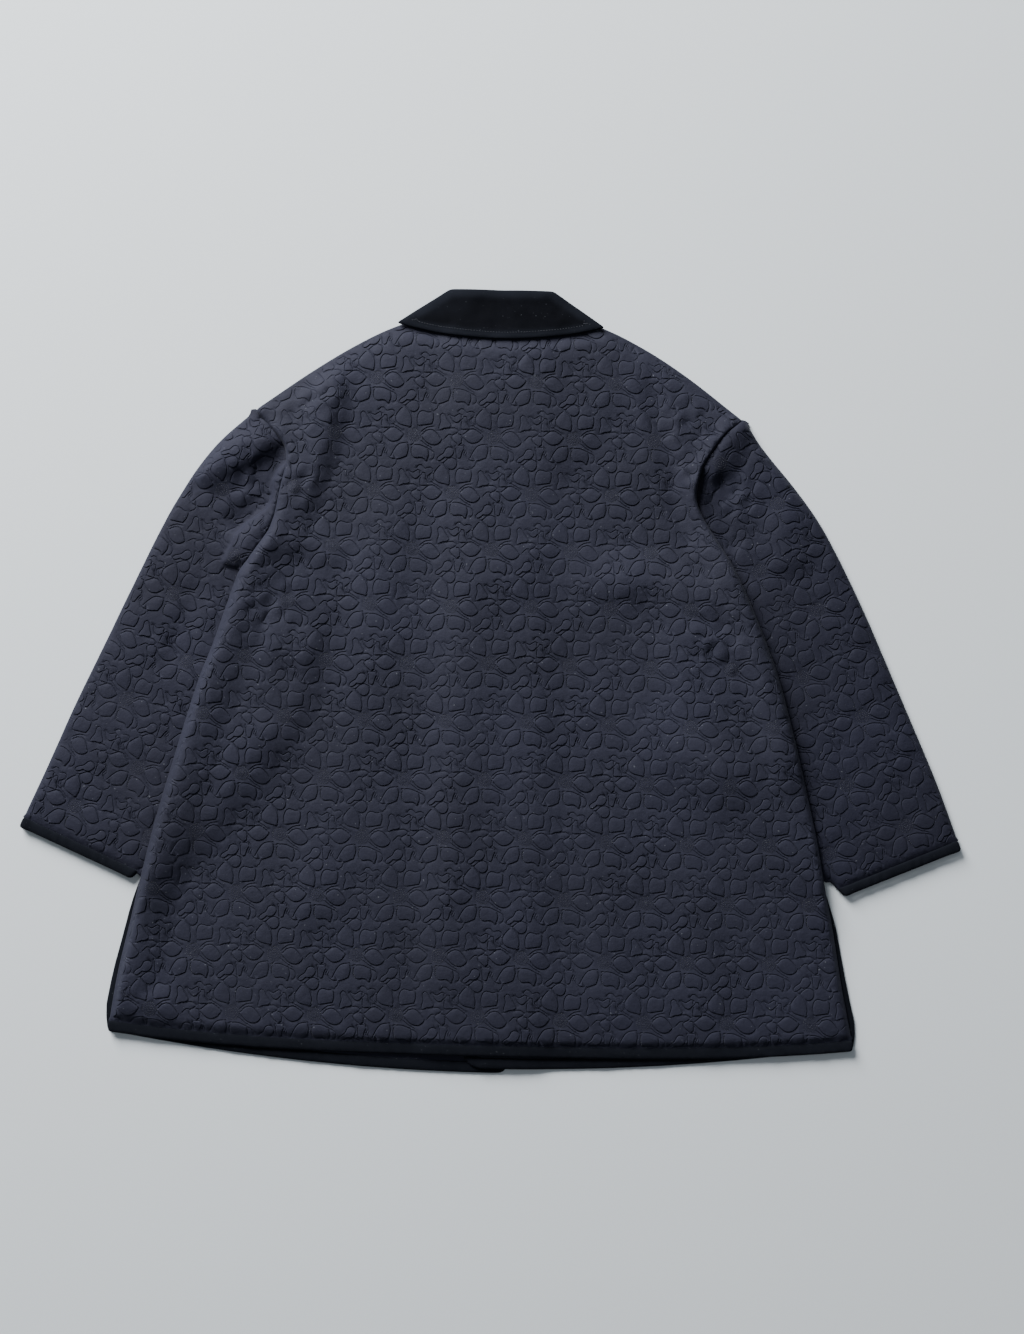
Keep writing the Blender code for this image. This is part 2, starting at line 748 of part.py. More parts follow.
def build_sleeve(side, cloth, velvet):
    name = "left" if side == LEFT else "right"
    over = sleeve_over(side)
    outline = sleeve_outline(side, OUTLINE_STEP, cut_back=BINDING_WIDTH + SEAM)
    body = back_outline(OUTLINE_STEP)

    def shows(at):
        return ~inside(body, at) & (distance_to(body, at, closed=True) > QUILT_MARGIN)

    upper, relief = quilting(outline, SLEEVE_FLOWER[side], side * SLEEVE_TURN, shows)
    hidden = kept_inside(grid_points(outline, HIDDEN_GRID, 0.4 * HIDDEN_GRID), body, 0.25 * HIDDEN_GRID)
    beside_body = moved_in(flank(side, OUTLINE_STEP), side * BESIDE_BODY, closed=False)
    hidden = np.vstack([hidden, kept_inside(beside_body, outline, GRID_MARGIN)])
    if side == LEFT:
        foot = smooth_line(BUNCH_EDGE, BUNCH_STEP)
        crest = moved_in(foot, BUNCH_STEP, closed=False)
        bunch = kept_inside(np.vstack([crest, foot]), outline, 0.5 * BUNCH_STEP)
        clear = np.array([np.linalg.norm(bunch - point, axis=1).min() for point in upper]) > QUILT_MARGIN
        upper, relief = upper[clear], relief[clear]
        hidden = np.vstack([hidden, bunch])
    upper = np.vstack([upper, hidden])
    relief = np.concatenate([relief, np.zeros(len(hidden))])
    sleeve = wall_solid(
        f"sleeve_{name}", outline, level(0.0), over, upper, None, cloth, SLEEVE_ROUND, relief
    )
    hollow(sleeve, side)
    cuff_band = cuff_outline(side)
    band = wall_solid(
        f"binding_cuff_{name}", cuff_band, level(0.0), raised(over, 0.0006), material=velvet, rounding=0.0016
    )
    hollow(band, side)


def cuff_outline(side):
    """The band beyond the sleeve's quilted cloth."""
    near_outer, near_inner = (line[-1] for line in sleeve_edges(side, BINDING_WIDTH))
    far_outer, far_inner = (line[-1] for line in sleeve_edges(side))
    corners = np.array([near_outer, near_inner, far_inner, far_outer])
    return anticlockwise(spaced_closed(corners, 0.020))


def hollow_outline(side):
    """The sleeve's hollow in plan: inside its folded edges, and past its cuff and its armhole."""
    outer = moved_in(side_line(SLEEVE_OUTER, side, 0.03), -side * HOLLOW_INSET, closed=False)
    inner = moved_in(side_line(SLEEVE_INNER, side, 0.03), side * HOLLOW_INSET, closed=False)
    mouth = moved_in(armhole(side, 0.022), -side * HOLLOW_PAST, closed=False)
    cuff = resampled(np.array([line[-1] for line in sleeve_edges(side)]), 13)
    cuff = moved_in(cuff, side * HOLLOW_PAST, closed=False)
    outer = outer[(outer[:, 1] < SLEEVE_OUTER[0].y - 0.035) & (distance_to(cuff, outer) > 0.025)]
    inner = inner[(inner[:, 1] < SLEEVE_INNER[1].y - 0.010) & (distance_to(cuff, inner) > 0.025)]
    return anticlockwise(joined(mouth[1:-1], inner, cuff[::-1][1:-1], outer[::-1]))


def hollow(sleeve, side):
    """Opens the sleeve from end to end between its two walls."""
    outline = hollow_outline(side)
    roof = sleeve_swell(side)
    inner = grid_points(outline, HIDDEN_GRID, 0.4 * HIDDEN_GRID)
    cutter = wall_solid(
        f"cut_{sleeve.name}",
        outline,
        level(WALL),
        lambda at: roof(at) - WALL,
        upper=inner,
        rounding=0.0008,
    )
    parts.objects.unlink(cutter)
    cutters.objects.link(cutter)
    cutter.hide_render = True
    cutter.display_type = "WIRE"
    cut = sleeve.modifiers.new("hollow", "BOOLEAN")
    cut.operation = "DIFFERENCE"
    cut.object = cutter
    cut.solver = "EXACT"


def collar_outline(spacing):
    """The collar's fall as it lies over the back: its fold on top and its curved edge below."""
    steps = np.linspace(-1, 1, 30)
    edge = np.column_stack([COLLAR_END.x * steps, COLLAR_EDGE_Y + (COLLAR_END.y - COLLAR_EDGE_Y) * np.abs(steps) ** 2])
    corners = [(COLLAR_END.x, COLLAR_END.y), (0.094, 0.4235), COLLAR_FOLD]
    right = smooth_line(corners, spacing)
    top = spaced(np.array([COLLAR_FOLD, (-COLLAR_FOLD.x, COLLAR_FOLD.y)]), spacing * 1.6)
    left = right[::-1] * [-1, 1]
    line = joined(spaced(edge, spacing), right, top, left)
    return line + [COLLAR_SHIFT, 0]


def stand_outline(spacing):
    """The part of the collar under its fall, between the neck seam and the fold."""
    neck = neck_line(NECK_BACK_Y + SEAM, spacing)
    fold_y = COLLAR_FOLD.y - STAND_BACK_OFF
    top = spaced(np.array([(-COLLAR_FOLD.x, fold_y), (COLLAR_FOLD.x, fold_y)]), spacing * 1.4)
    return anticlockwise(joined(neck, top))


def build_collar(velvet):
    body = back_outline(OUTLINE_STEP)
    stand = stand_outline(0.014)

    def stand_under(at):
        return back_under(at * [1, 0] + [0, 0.398], body)

    def fall_under(at):
        lowered = np.column_stack([at[:, 0], np.minimum(at[:, 1], 0.398)])
        within = np.clip(lowered, [-0.12, 0], [0.12, 1])
        return back_under(within, body) + WALL + FALL_GAP

    within = grid_points(stand, COLLAR_GRID, GRID_MARGIN)
    wall_solid("collar_stand", stand, stand_under, raised(stand_under, WALL), within, within, velvet)
    fall = collar_outline(0.012)
    within = grid_points(fall, COLLAR_GRID, GRID_MARGIN)
    wall_solid("collar_fall", fall, fall_under, raised(fall_under, COLLAR_WALL), within, within, velvet)
    for side, name in ((LEFT, "left"), (RIGHT, "right")):
        wall_solid(f"collar_leaf_{name}", LEAVES[side], level(0.0), level(WALL), material=velvet)


def main():
    clear_scene()
    cloth = cloth_material("quilted_navy", NAVY, 0.8)
    velvet = cloth_material("velvet", VELVET, 0.95)
    for side in (LEFT, RIGHT):
        build_front(side, cloth, velvet)
        build_sleeve(side, cloth, velvet)
    build_back(cloth)
    build_back_binding(velvet)
    build_collar(velvet)


main()
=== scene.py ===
"""Dresses the quilted coat: quilting, velvet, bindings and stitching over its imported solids.

Metres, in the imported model's frame. Each cloth piece takes its outline and its lie from its own solid,
and the quilting is raised on it from one charted flower that repeats.
"""

import math
from collections import namedtuple

import bpy
import numpy as np
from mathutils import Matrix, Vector
from mathutils.bvhtree import BVHTree
from mathutils.geometry import delaunay_2d_cdt


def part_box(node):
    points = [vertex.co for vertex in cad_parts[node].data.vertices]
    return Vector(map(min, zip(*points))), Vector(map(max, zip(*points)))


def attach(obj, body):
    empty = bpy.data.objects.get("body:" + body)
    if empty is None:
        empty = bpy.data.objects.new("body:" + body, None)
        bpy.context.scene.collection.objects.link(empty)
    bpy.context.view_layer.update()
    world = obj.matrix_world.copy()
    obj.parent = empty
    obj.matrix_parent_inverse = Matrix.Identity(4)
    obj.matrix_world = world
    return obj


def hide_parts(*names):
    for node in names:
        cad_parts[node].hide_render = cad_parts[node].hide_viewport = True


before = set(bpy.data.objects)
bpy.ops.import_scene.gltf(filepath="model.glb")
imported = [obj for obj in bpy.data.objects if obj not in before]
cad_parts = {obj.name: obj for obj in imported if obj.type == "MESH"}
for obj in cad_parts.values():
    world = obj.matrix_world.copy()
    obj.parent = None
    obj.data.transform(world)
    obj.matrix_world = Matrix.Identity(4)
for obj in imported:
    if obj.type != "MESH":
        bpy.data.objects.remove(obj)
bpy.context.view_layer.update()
LEFT, RIGHT = -1, 1
SIDE_NAMES = {LEFT: "left", RIGHT: "right"}
MM = 0.001

# Camera and light
LENS_MM = 50.0
SENSOR_MM = 36.0
CAMERA_PLACE = (0.0265, -0.2507, 2.0992)
CAMERA_TILT = math.radians(7.0)
CAMERA_ROLL = math.radians(1.45)
FLOOR_SIZE = 7.0
FLOOR_COLOUR = (0.668, 0.714, 0.748, 1.0)
ROOM_LIGHT = 0.17

# Painted shade: the sleeves' cotton is darker than the back's by these shares, though the cloth is the same
# all over
SLEEVE_PAINTED_SHADE = {LEFT: (0.82, 0.82, 0.88), RIGHT: (0.70, 0.71, 0.80)}

# Cloth
CLOTH_WALL = 0.0020
SLEEVE_WALL = 0.0019
PLAIN_WALL = 0.0022
BAND_WALL = 0.0022
BAND_CROWN = 0.0009
# A cuff's two bands: their walls, how far the upper one's crown rises, and how far it lies under the
# solid's top, in all and at the sleeve's folds
CUFF_WALL = 0.0017
CUFF_LOWER_WALL = 0.0018
CUFF_CROWN = 0.0011
CUFF_DROP = 0.0014
CUFF_FOLD_DROP = 0.0030
OUTLINE_STEP = 0.0034
LOW_STEP = 0.024

# How a cloth wall's edge is rounded: how far in each ring lies, and its share of the wall's height
Ring = namedtuple("Ring", "inset share")
CLOTH_EDGE = (
    Ring(0.0024, 1.00),
    Ring(0.0010, 0.86),
    Ring(0.0001, 0.52),
    Ring(0.0009, 0.15),
    Ring(0.0022, 0.00),
)

# Quilting, in millimetres about a flower's middle. Rows of flowers are set half a flower apart
FLOWER_PITCH = 91.6
ROW_PITCH = 65.9
BACK_FLOWER = (0.0386, 0.3374)
SLEEVE_FLOWER = {LEFT: (-0.4000, -0.1195), RIGHT: (0.4000, -0.1195)}
SLEEVE_TURN = math.radians(22)
STITCH_STEP = 3.4
BESIDE_STITCH = 0.90
PETAL_ROW = 3.2
FIELD_STEP = 4.9
STEEP_REACH = 0.48
SOFT_REACH = 1.00
PETAL_PUFF = 1.50
SHAPE_PUFF = 1.45
FIELD_PUFF = 0.95
RING_PUFF = 0.45
STITCH_GAP = 1.3
FLANK_GAP = 0.9
FIELD_CLEAR = 2.2
ROW_CLEAR = 1.6
DEPTH_REACH = 0.8

# Each petal is stitched in runs from corner to corner
PETALS = (
    # left
    (
        ((-11.5, 0.5), (-18.0, 5.6), (-24.5, 8.6), (-30.5, 5.4), (-36.5, 0.2)),
        ((-36.5, 0.2), (-30.6, -5.8), (-24.6, -8.4), (-17.0, -6.2), (-11.5, 0.5)),
    ),
    # right
    (
        ((8.5, -0.8), (14.0, 5.0), (20.5, 6.8), (27.0, 2.0), (32.5, -5.4)),
        ((32.5, -5.4), (29.0, -9.6), (22.5, -11.4), (14.5, -8.0), (8.5, -0.8)),
    ),
    # upper left
    (
        ((-4.0, 9.0), (-2.6, 16.5), (-5.0, 25.5), (-12.0, 34.0)),
        ((-12.0, 34.0), (-18.4, 27.0), (-21.6, 19.0), (-17.5, 12.4), (-4.0, 9.0)),
    ),
    # upper right
    (
        ((5.0, 10.8), (13.0, 12.0), (20.6, 13.4)),
        ((20.6, 13.4), (22.4, 20.0), (21.4, 28.2)),
        ((21.4, 28.2), (15.5, 26.8), (9.5, 28.6), (5.4, 26.4), (3.4, 18.5), (5.0, 10.8)),
    ),
    # lower left
    (
        ((-7.0, -8.8), (-16.5, -10.6), (-21.8, -17.0), (-27.0, -27.6)),
        ((-27.0, -27.6), (-17.5, -28.6), (-7.6, -24.8)),
        ((-7.6, -24.8), (-5.4, -16.5), (-7.0, -8.8)),
    ),
    # lower right
    (
        ((-1.4, -11.0), (8.0, -11.6), (16.8, -15.4)),
        ((16.8, -15.4), (18.2, -22.5), (15.4, -30.0)),
        ((15.4, -30.0), (9.6, -26.0), (1.0, -26.4), (-2.4, -19.5), (-1.4, -11.0)),
    ),
)
FLOWER_RINGS = (7.4, 4.6, 2.0)
BETWEEN_RINGS = (6.0, 3.3)
# Rows whose stitches show as dots, because the cloth lies flat beside them
DOTTED_ROWS = (
    ((-3.8, -9.6), (-4.4, -17.0), (-5.0, -25.4)),
    ((-1.6, -9.8), (-2.4, -17.6), (-0.6, -25.0)),
    ((0.8, 9.6), (-0.2, 17.0), (-1.2, 25.0)),
    ((3.4, 9.4), (2.2, 18.0), (3.6, 26.0)),
)
# Doubled stitching that runs beside the petals
BESIDE_PETALS = (
    ((-13.5, 5.4), (-19.5, 9.6), (-25.5, 12.0)),
    ((9.5, 5.0), (15.0, 9.2), (22.0, 10.4)),
    ((9.0, -6.6), (15.0, -11.4), (21.0, -14.4)),
)
# Small shapes that fill the ground between the flowers, each from its one sharp corner round
SHAPES = (
    # heart at the left petal's tip
    (
        (-36.0, -8.0), (-36.6, 0.6), (-41.0, 2.2), (-46.4, 1.0),
        (-48.0, -3.0), (-44.6, -6.8), (-40.0, -10.0),
    ),
    # boot below the right petal
    (
        (28.2, -29.4), (28.0, -25.6), (32.6, -22.0), (35.8, -19.6),
        (37.4, -15.2), (42.0, -13.2), (47.2, -16.8), (45.6, -22.4),
        (40.8, -25.8), (36.2, -25.2), (32.4, -28.8),
    ),
    # flask beside it
    (
        (48.8, -11.2), (56.8, -11.8), (58.2, -15.0), (56.4, -19.6),
        (54.8, -25.4), (50.6, -25.8), (49.6, -18.6),
    ),
    # cap on the upper left petal
    (
        (-10.6, 33.6), (-7.4, 37.6), (-1.6, 40.4), (3.6, 38.2),
        (5.2, 33.4), (2.8, 28.4), (-1.6, 26.6), (-5.6, 28.4),
    ),
    # fin beside the upper right petal
    (
        (29.4, 5.8), (28.9, 10.6), (30.8, 17.0), (29.6, 23.4),
        (33.0, 26.4), (36.4, 22.2), (39.6, 17.0), (43.0, 12.0),
        (39.4, 9.0), (34.4, 8.4),
    ),
    # cup
    (
        (40.0, 25.0), (43.2, 18.6), (47.8, 15.2), (52.2, 17.2),
        (54.0, 21.8), (53.0, 26.4), (49.4, 24.6), (45.6, 22.4),
    ),
    # post
    (
        (54.6, 7.6), (54.2, 14.0), (55.6, 20.6), (58.0, 23.4),
        (60.8, 20.8), (61.0, 16.2), (63.6, 11.4), (64.6, 8.6),
        (60.0, 8.0),
    ),
)
# Wandering lines of stitching between them
WANDERING = (
    ((50.6, 29.2), (53.6, 32.0), (57.0, 30.6), (59.2, 27.4), (63.4, 29.0), (67.6, 28.4), (69.2, 24.6)),
    ((69.2, 24.6), (66.6, 21.4), (65.6, 17.6), (69.0, 14.2)),
    ((33.8, 6.6), (40.0, 8.0), (46.6, 9.2), (51.8, 5.2), (47.0, 2.2)),
    ((36.4, -2.6), (40.0, 1.2), (43.0, 1.4)),
    ((23.4, 30.0), (26.8, 33.2), (25.6, 38.0)),
    ((19.8, -16.8), (23.8, -19.4), (24.6, -25.0), (21.4, -28.0)),
    ((-29.6, -26.0), (-32.8, -21.0), (-30.4, -15.0), (-33.6, -10.6)),
    ((-24.0, 13.0), (-28.4, 16.6), (-26.0, 21.6), (-21.6, 22.6)),
    ((59.4, -13.6), (62.2, -17.6), (60.6, -22.4), (63.6, -26.6)),
)
PATTERN_SWAY = 0.0011

# Large soft folds. `left` and `right` are the widths of a fold's two flanks, left and
# right of the way its points run
Crease = namedtuple("Crease", "points left right high fade")
# How far the quilted back stands up within its edge
LOFT = 0.0032
BACK_CREASES = (
    # the ridge from the left shoulder down to the armhole
    Crease(
        ((-0.190, 0.366), (-0.197, 0.302), (-0.207, 0.249), (-0.222, 0.200), (-0.246, 0.145)),
        left=0.026,
        right=0.040,
        high=0.0070,
        fade=0.06,
    ),
    # dips on the inner side of the left edge
    Crease(
        ((-0.262, 0.150), (-0.216, 0.140), (-0.170, 0.118)),
        left=0.034, right=0.028, high=0.0032, fade=0.03,
    ),
    Crease(
        ((-0.270, 0.036), (-0.226, 0.016), (-0.190, 0.018)),
        left=0.040, right=0.032, high=0.0032, fade=0.03,
    ),
    Crease(
        ((-0.282, -0.060), (-0.236, -0.090), (-0.206, -0.090)),
        left=0.034, right=0.034, high=0.0018, fade=0.03,
    ),
    Crease(
        ((-0.216, 0.112), (-0.228, 0.020), (-0.250, -0.080)),
        left=0.024, right=0.026, high=-0.0022, fade=0.06,
    ),
    # upright waves of the middle
    Crease(
        ((-0.118, 0.300), (-0.126, -0.035), (-0.112, -0.410)),
        left=0.030, right=0.052, high=0.0013, fade=0.12,
    ),
    Crease(
        ((-0.030, 0.200), (-0.040, -0.120), (-0.056, -0.410)),
        left=0.026, right=0.036, high=0.0010, fade=0.12,
    ),
    Crease(
        ((0.030, 0.240), (0.046, -0.030), (0.066, -0.300)),
        left=0.034, right=0.046, high=0.0012, fade=0.12,
    ),
    Crease(((0.124, -0.210), (0.146, -0.410)), left=0.030, right=0.040, high=0.0013, fade=0.08),
    Crease(((0.226, -0.180), (0.252, -0.410)), left=0.034, right=0.048, high=0.0018, fade=0.08),
    Crease(((-0.200, -0.190), (-0.216, -0.410)), left=0.034, right=0.044, high=0.0013, fade=0.08),
    Crease(
        ((-0.050, 0.098), (0.008, 0.108), (0.060, 0.096)),
        left=0.055, right=0.050, high=0.0022, fade=0.05,
    ),
    # the right side's valley
    Crease(
        ((0.166, 0.362), (0.184, 0.290), (0.197, 0.235), (0.212, 0.189), (0.236, 0.140)),
        left=0.020,
        right=0.024,
        high=-0.0046,
        fade=0.04,
    ),
    # cross folds of the right side
    Crease(
        ((0.112, 0.108), (0.172, 0.116), (0.236, 0.104)),
        left=0.040, right=0.044, high=0.0048, fade=0.04,
    ),
    Crease(
        ((0.206, 0.056), (0.238, 0.048), (0.268, 0.032), (0.292, 0.000)),
        left=0.018, right=0.028, high=0.0034, fade=0.035,
    ),
    Crease(
        ((0.150, -0.088), (0.190, -0.102), (0.240, -0.108), (0.300, -0.130)),
        left=0.050, right=0.056, high=0.0028, fade=0.05,
    ),
)
# Where the back stays high right up to its edge: beside the left sleeve's flap, and over the right armhole
EDGE_LIFTS = (
    Crease(
        (
            (-0.276, 0.288), (-0.256, 0.266), (-0.247, 0.246), (-0.248, 0.222),
            (-0.254, 0.196), (-0.262, 0.166), (-0.276, 0.136), (-0.290, 0.114),
        ),
        left=0.030,
        right=0.020,
        high=0.0066,
        fade=0.03,
    ),
    Crease(
        (
            (0.292, 0.320), (0.266, 0.282), (0.238, 0.242), (0.226, 0.216),
            (0.228, 0.196), (0.240, 0.166), (0.262, 0.122), (0.286, 0.062),
            (0.316, -0.040), (0.346, -0.150),
        ),
        left=0.030,
        right=0.030,
        high=0.0086,
        fade=0.070,
    ),
)
# How far in from its edge the back takes to rise: everywhere, and how much more by its left edge and
# its shoulders, which begin at these two lines. Beside an armhole seam the whole rise is short
LEFT_SIDE_X = -0.12
SHOULDER_FOOT_Y = 0.235
EDGE_RISE = 0.006
LEFT_RISE = 0.003
SHOULDER_RISE = 0.014
SEAM_RISE = 0.0028
# The armhole seams, where the back meets a sleeve at the same height
ARMHOLES = (
    ((-0.2863, 0.3006), (-0.2459, 0.2571), (-0.2450, 0.2260), (-0.2530, 0.1945), (-0.2952, 0.1113)),
    ((0.2761, 0.2968), (0.2283, 0.2242)),
)
# The roll along the back's left edge: its height, how far in its crest lies, and where it has died away
LEFT_ROLL = 0.0076
ROLL_CREST = 0.012
ROLL_WIDTH = 0.042
SLEEVE_CREASES = {
    LEFT: (
        Crease(
            ((-0.236, 0.274), (-0.268, 0.262), (-0.296, 0.249), (-0.330, 0.226), (-0.350, 0.206)),
            left=0.034, right=0.034, high=0.0076, fade=0.02,
        ),
        Crease(
            ((-0.256, 0.244), (-0.282, 0.226), (-0.314, 0.206)),
            left=0.022, right=0.018, high=-0.0030, fade=0.016,
        ),
        Crease(
            (
                (-0.246, 0.262), (-0.248, 0.240), (-0.261, 0.216),
                (-0.264, 0.190), (-0.290, 0.166), (-0.302, 0.148),
            ),
            left=0.004,
            right=0.032,
            high=-0.0060,
            fade=0.014,
        ),
        Crease(
            ((-0.352, 0.176), (-0.392, 0.070), (-0.430, -0.050), (-0.462, -0.150)),
            left=0.046, right=0.044, high=0.0008, fade=0.06,
        ),
        Crease(
            ((-0.340, 0.120), (-0.352, 0.060), (-0.380, -0.020)),
            left=0.026, right=0.020, high=-0.0024, fade=0.04,
        ),
    ),
    RIGHT: (
        Crease(
            ((0.288, 0.282), (0.310, 0.256), (0.330, 0.214), (0.330, 0.165), (0.332, 0.110)),
            left=0.040, right=0.034, high=0.0044, fade=0.03,
        ),
        Crease(
            ((0.270, 0.242), (0.258, 0.220), (0.247, 0.200), (0.256, 0.172), (0.274, 0.140)),
            left=0.024, right=0.018, high=-0.0052, fade=0.018,
        ),
        Crease(
            ((0.352, 0.150), (0.394, 0.060), (0.440, -0.050), (0.466, -0.140)),
            left=0.040, right=0.044, high=0.0010, fade=0.06,
        ),
    ),
}
# A sleeve's folded edge: how round it is, and how far it drops. Then how much lower the whole sleeve
# lies than its solid, and how much more by its cuff
FOLD_RADIUS = 0.007
FOLD_DROP = 0.0034
SLEEVE_DROP = 0.0010
CUFF_SINK = 0.0008
# Where the sleeves rise to meet the back's raised armhole seams
SLEEVE_LIFTS = {
    LEFT: (
        Crease(
            ((-0.278, 0.290), (-0.260, 0.270), (-0.250, 0.254)),
            left=0.020, right=0.018, high=0.0044, fade=0.015,
        ),
    ),
    RIGHT: (
        Crease(
            ((0.286, 0.306), (0.262, 0.274), (0.243, 0.246), (0.231, 0.228)),
            left=0.032, right=0.036, high=0.0092, fade=0.016,
        ),
    ),
}
# Crumpled places: where, how far they reach, and how high their small waves are
Crumple = namedtuple("Crumple", "x y reach high")
CRUMPLES = (
    Crumple(-0.218, 0.310, 0.052, 0.0011),
    Crumple(-0.230, 0.215, 0.040, 0.0011),
    Crumple(0.212, 0.296, 0.048, 0.0009),
    Crumple(0.218, 0.232, 0.038, 0.0012),
    Crumple(-0.262, 0.070, 0.062, 0.0009),
    Crumple(0.252, 0.030, 0.062, 0.0009),
    Crumple(-0.285, 0.225, 0.050, 0.0012),
    Crumple(0.266, 0.212, 0.050, 0.0014),
    Crumple(0.020, 0.372, 0.050, 0.0005),
)
# The left sleeve's cloth is pushed up into a flap beside its seam: the flap's free edge, top to bottom
FLAP_EDGE = (
    (-0.243, 0.256), (-0.243, 0.244), (-0.249, 0.236), (-0.258, 0.229),
    (-0.263, 0.216), (-0.261, 0.204), (-0.263, 0.191), (-0.268, 0.182),
    (-0.279, 0.176), (-0.292, 0.165), (-0.301, 0.154), (-0.307, 0.138),
    (-0.315, 0.117), (-0.297, 0.111),
)
# The rest of the flap's rim, along the seam
FLAP_SEAM = ((-0.288, 0.106), (-0.262, 0.130), (-0.245, 0.160), (-0.236, 0.200), (-0.232, 0.250))
# The flap's steep lip at its free edge, and its slower rise behind
FLAP_LIP = 0.0036
FLAP_RISE = 0.0040
COLLAR_CREASES = (
    Crease(
        ((-0.030, 0.440), (-0.024, 0.424), (-0.026, 0.408)),
        left=0.014, right=0.014, high=-0.0010, fade=0.012,
    ),
    Crease(
        ((0.046, 0.442), (0.056, 0.426), (0.070, 0.412)),
        left=0.016, right=0.014, high=-0.0012, fade=0.012,
    ),
    Crease(
        ((-0.082, 0.428), (-0.070, 0.416), (-0.052, 0.404)),
        left=0.012, right=0.016, high=-0.0009, fade=0.012,
    ),
)
# The collar's row of stitching: how far in it runs, and how wide and deep it draws the velvet down
COLLAR_TOPSTITCH = 0.0080
TOPSTITCH_WIDTH = 0.0016
TOPSTITCH_DEPTH = 0.0007
# The collar's wall at its rim, how much fuller it is inside, and how its fold stands up along the top
COLLAR_WALL = 0.0020
COLLAR_CROWN = 0.0016
COLLAR_FOLD = 0.0010
COLLAR_CROWN_REACH = 0.008


def ease(share):
    share = np.clip(share, 0, 1)
    return share * share * (3 - 2 * share)


# Lines in plan


def unit(vectors):
    return vectors / np.maximum(np.linalg.norm(vectors, axis=1), 1e-12)[:, None]


def spaced(line, spacing):
    steps = np.linalg.norm(np.diff(line, axis=0), axis=1)
    along = np.concatenate([[0], np.cumsum(steps)])
    at = np.linspace(0, along[-1], max(2, round(along[-1] / spacing) + 1))
    return np.column_stack([np.interp(at, along, line[:, k]) for k in range(2)])


def smooth_line(points, spacing):
    """Points about `spacing` apart on a smooth curve through the given ones."""
    given = np.asarray(points, float)
    if len(given) == 2:
        return spaced(given, spacing)
    ends = np.vstack([2 * given[0] - given[1], given, 2 * given[-1] - given[-2]])
    t = np.linspace(0, 1, 12, endpoint=False)[:, None]
    runs = []
    for a, b, c, d in zip(ends, ends[1:], ends[2:], ends[3:]):
        bend = (2 * a - 5 * b + 4 * c - d) * t**2 + (3 * b - a - 3 * c + d) * t**3
        runs.append(b + 0.5 * ((c - a) * t + bend))
    return spaced(np.vstack([*runs, given[-1:]]), spacing)


def moved_in(line, distance, closed=True):
    """The line moved to its left, which is inwards on an outline that runs anticlockwise."""
    before = np.roll(line, 1, axis=0)
    after = np.roll(line, -1, axis=0)
    if not closed:
        before[0] = 2 * line[0] - line[1]
        after[-1] = 2 * line[-1] - line[-2]
    into, out = unit(line - before), unit(after - line)
    normal_in = np.column_stack([-into[:, 1], into[:, 0]])
    normal_out = np.column_stack([-out[:, 1], out[:, 0]])
    middle = unit(normal_in + normal_out)
    stretch = np.clip((middle * normal_in).sum(1), 0.6, 1.0)
    return line + middle * (distance / stretch)[:, None]


def clear_ring(line, inset):
    """The closed line moved in, with the loops that this makes at its tight corners drawn straight."""
    ring = moved_in(line, inset)
    held = np.flatnonzero(distance_to(line, ring, closed=True) > 0.93 * inset)
    at = np.arange(len(line))
    return np.column_stack([np.interp(at, held, ring[held, k], period=len(line)) for k in range(2)])


def nearest_on(line, at, closed=False):
    """For each point: its distance to the line, which side it lies on, and how far along."""
    start, end = line, np.roll(line, -1, axis=0)
    if not closed:
        start, end = start[:-1], end[:-1]
    best = np.full(len(at), np.inf)
    side = np.ones(len(at))
    along = np.zeros(len(at))
    gone = 0.0
    for a, b in zip(start, end):
        run = b - a
        length = float(np.linalg.norm(run))
        away = at - a
        share = np.clip((away @ run) / max(length * length, 1e-18), 0, 1)
        off = away - share[:, None] * run
        distance = np.hypot(off[:, 0], off[:, 1])
        nearer = distance < best
        best = np.where(nearer, distance, best)
        side = np.where(nearer, np.sign(run[0] * away[:, 1] - run[1] * away[:, 0]), side)
        along = np.where(nearer, gone + share * length, along)
        gone += length
    return best, side, along, gone


def distance_to(line, at, closed=False):
    return nearest_on(line, at, closed)[0]


def inside(outline, at):
    found = np.zeros(len(at), bool)
    for a, b in zip(outline, np.roll(outline, -1, axis=0)):
        crosses = (a[1] > at[:, 1]) != (b[1] > at[:, 1])
        rise = b[1] - a[1] if b[1] != a[1] else 1e-12
        found ^= crosses & (at[:, 0] < a[0] + (at[:, 1] - a[1]) / rise * (b[0] - a[0]))
    return found


def signed_area(line):
    after = np.roll(line, -1, axis=0)
    return 0.5 * (line[:, 0] * after[:, 1] - line[:, 1] * after[:, 0]).sum()


def kept_inside(points, outline, margin):
    points = np.asarray(points)
    low, high = outline.min(0), outline.max(0)
    points = points[((points > low) & (points < high)).all(1)]
    points = points[inside(outline, points)]
    return points[distance_to(outline, points, closed=True) > margin]


def grid_points(outline, spacing, margin):
    low, high = outline.min(0), outline.max(0)
    rows = np.arange(math.floor(low[1] / spacing), math.ceil(high[1] / spacing) + 1)
    columns = np.arange(math.floor(low[0] / spacing) - 1, math.ceil(high[0] / spacing) + 1)
    x, y = np.meshgrid(columns, rows)
    grid = np.column_stack([((x + 0.5 * (y % 2)) * spacing).ravel(), (y * spacing).ravel()])
    return kept_inside(grid, outline, margin)


# What a piece takes from its solid


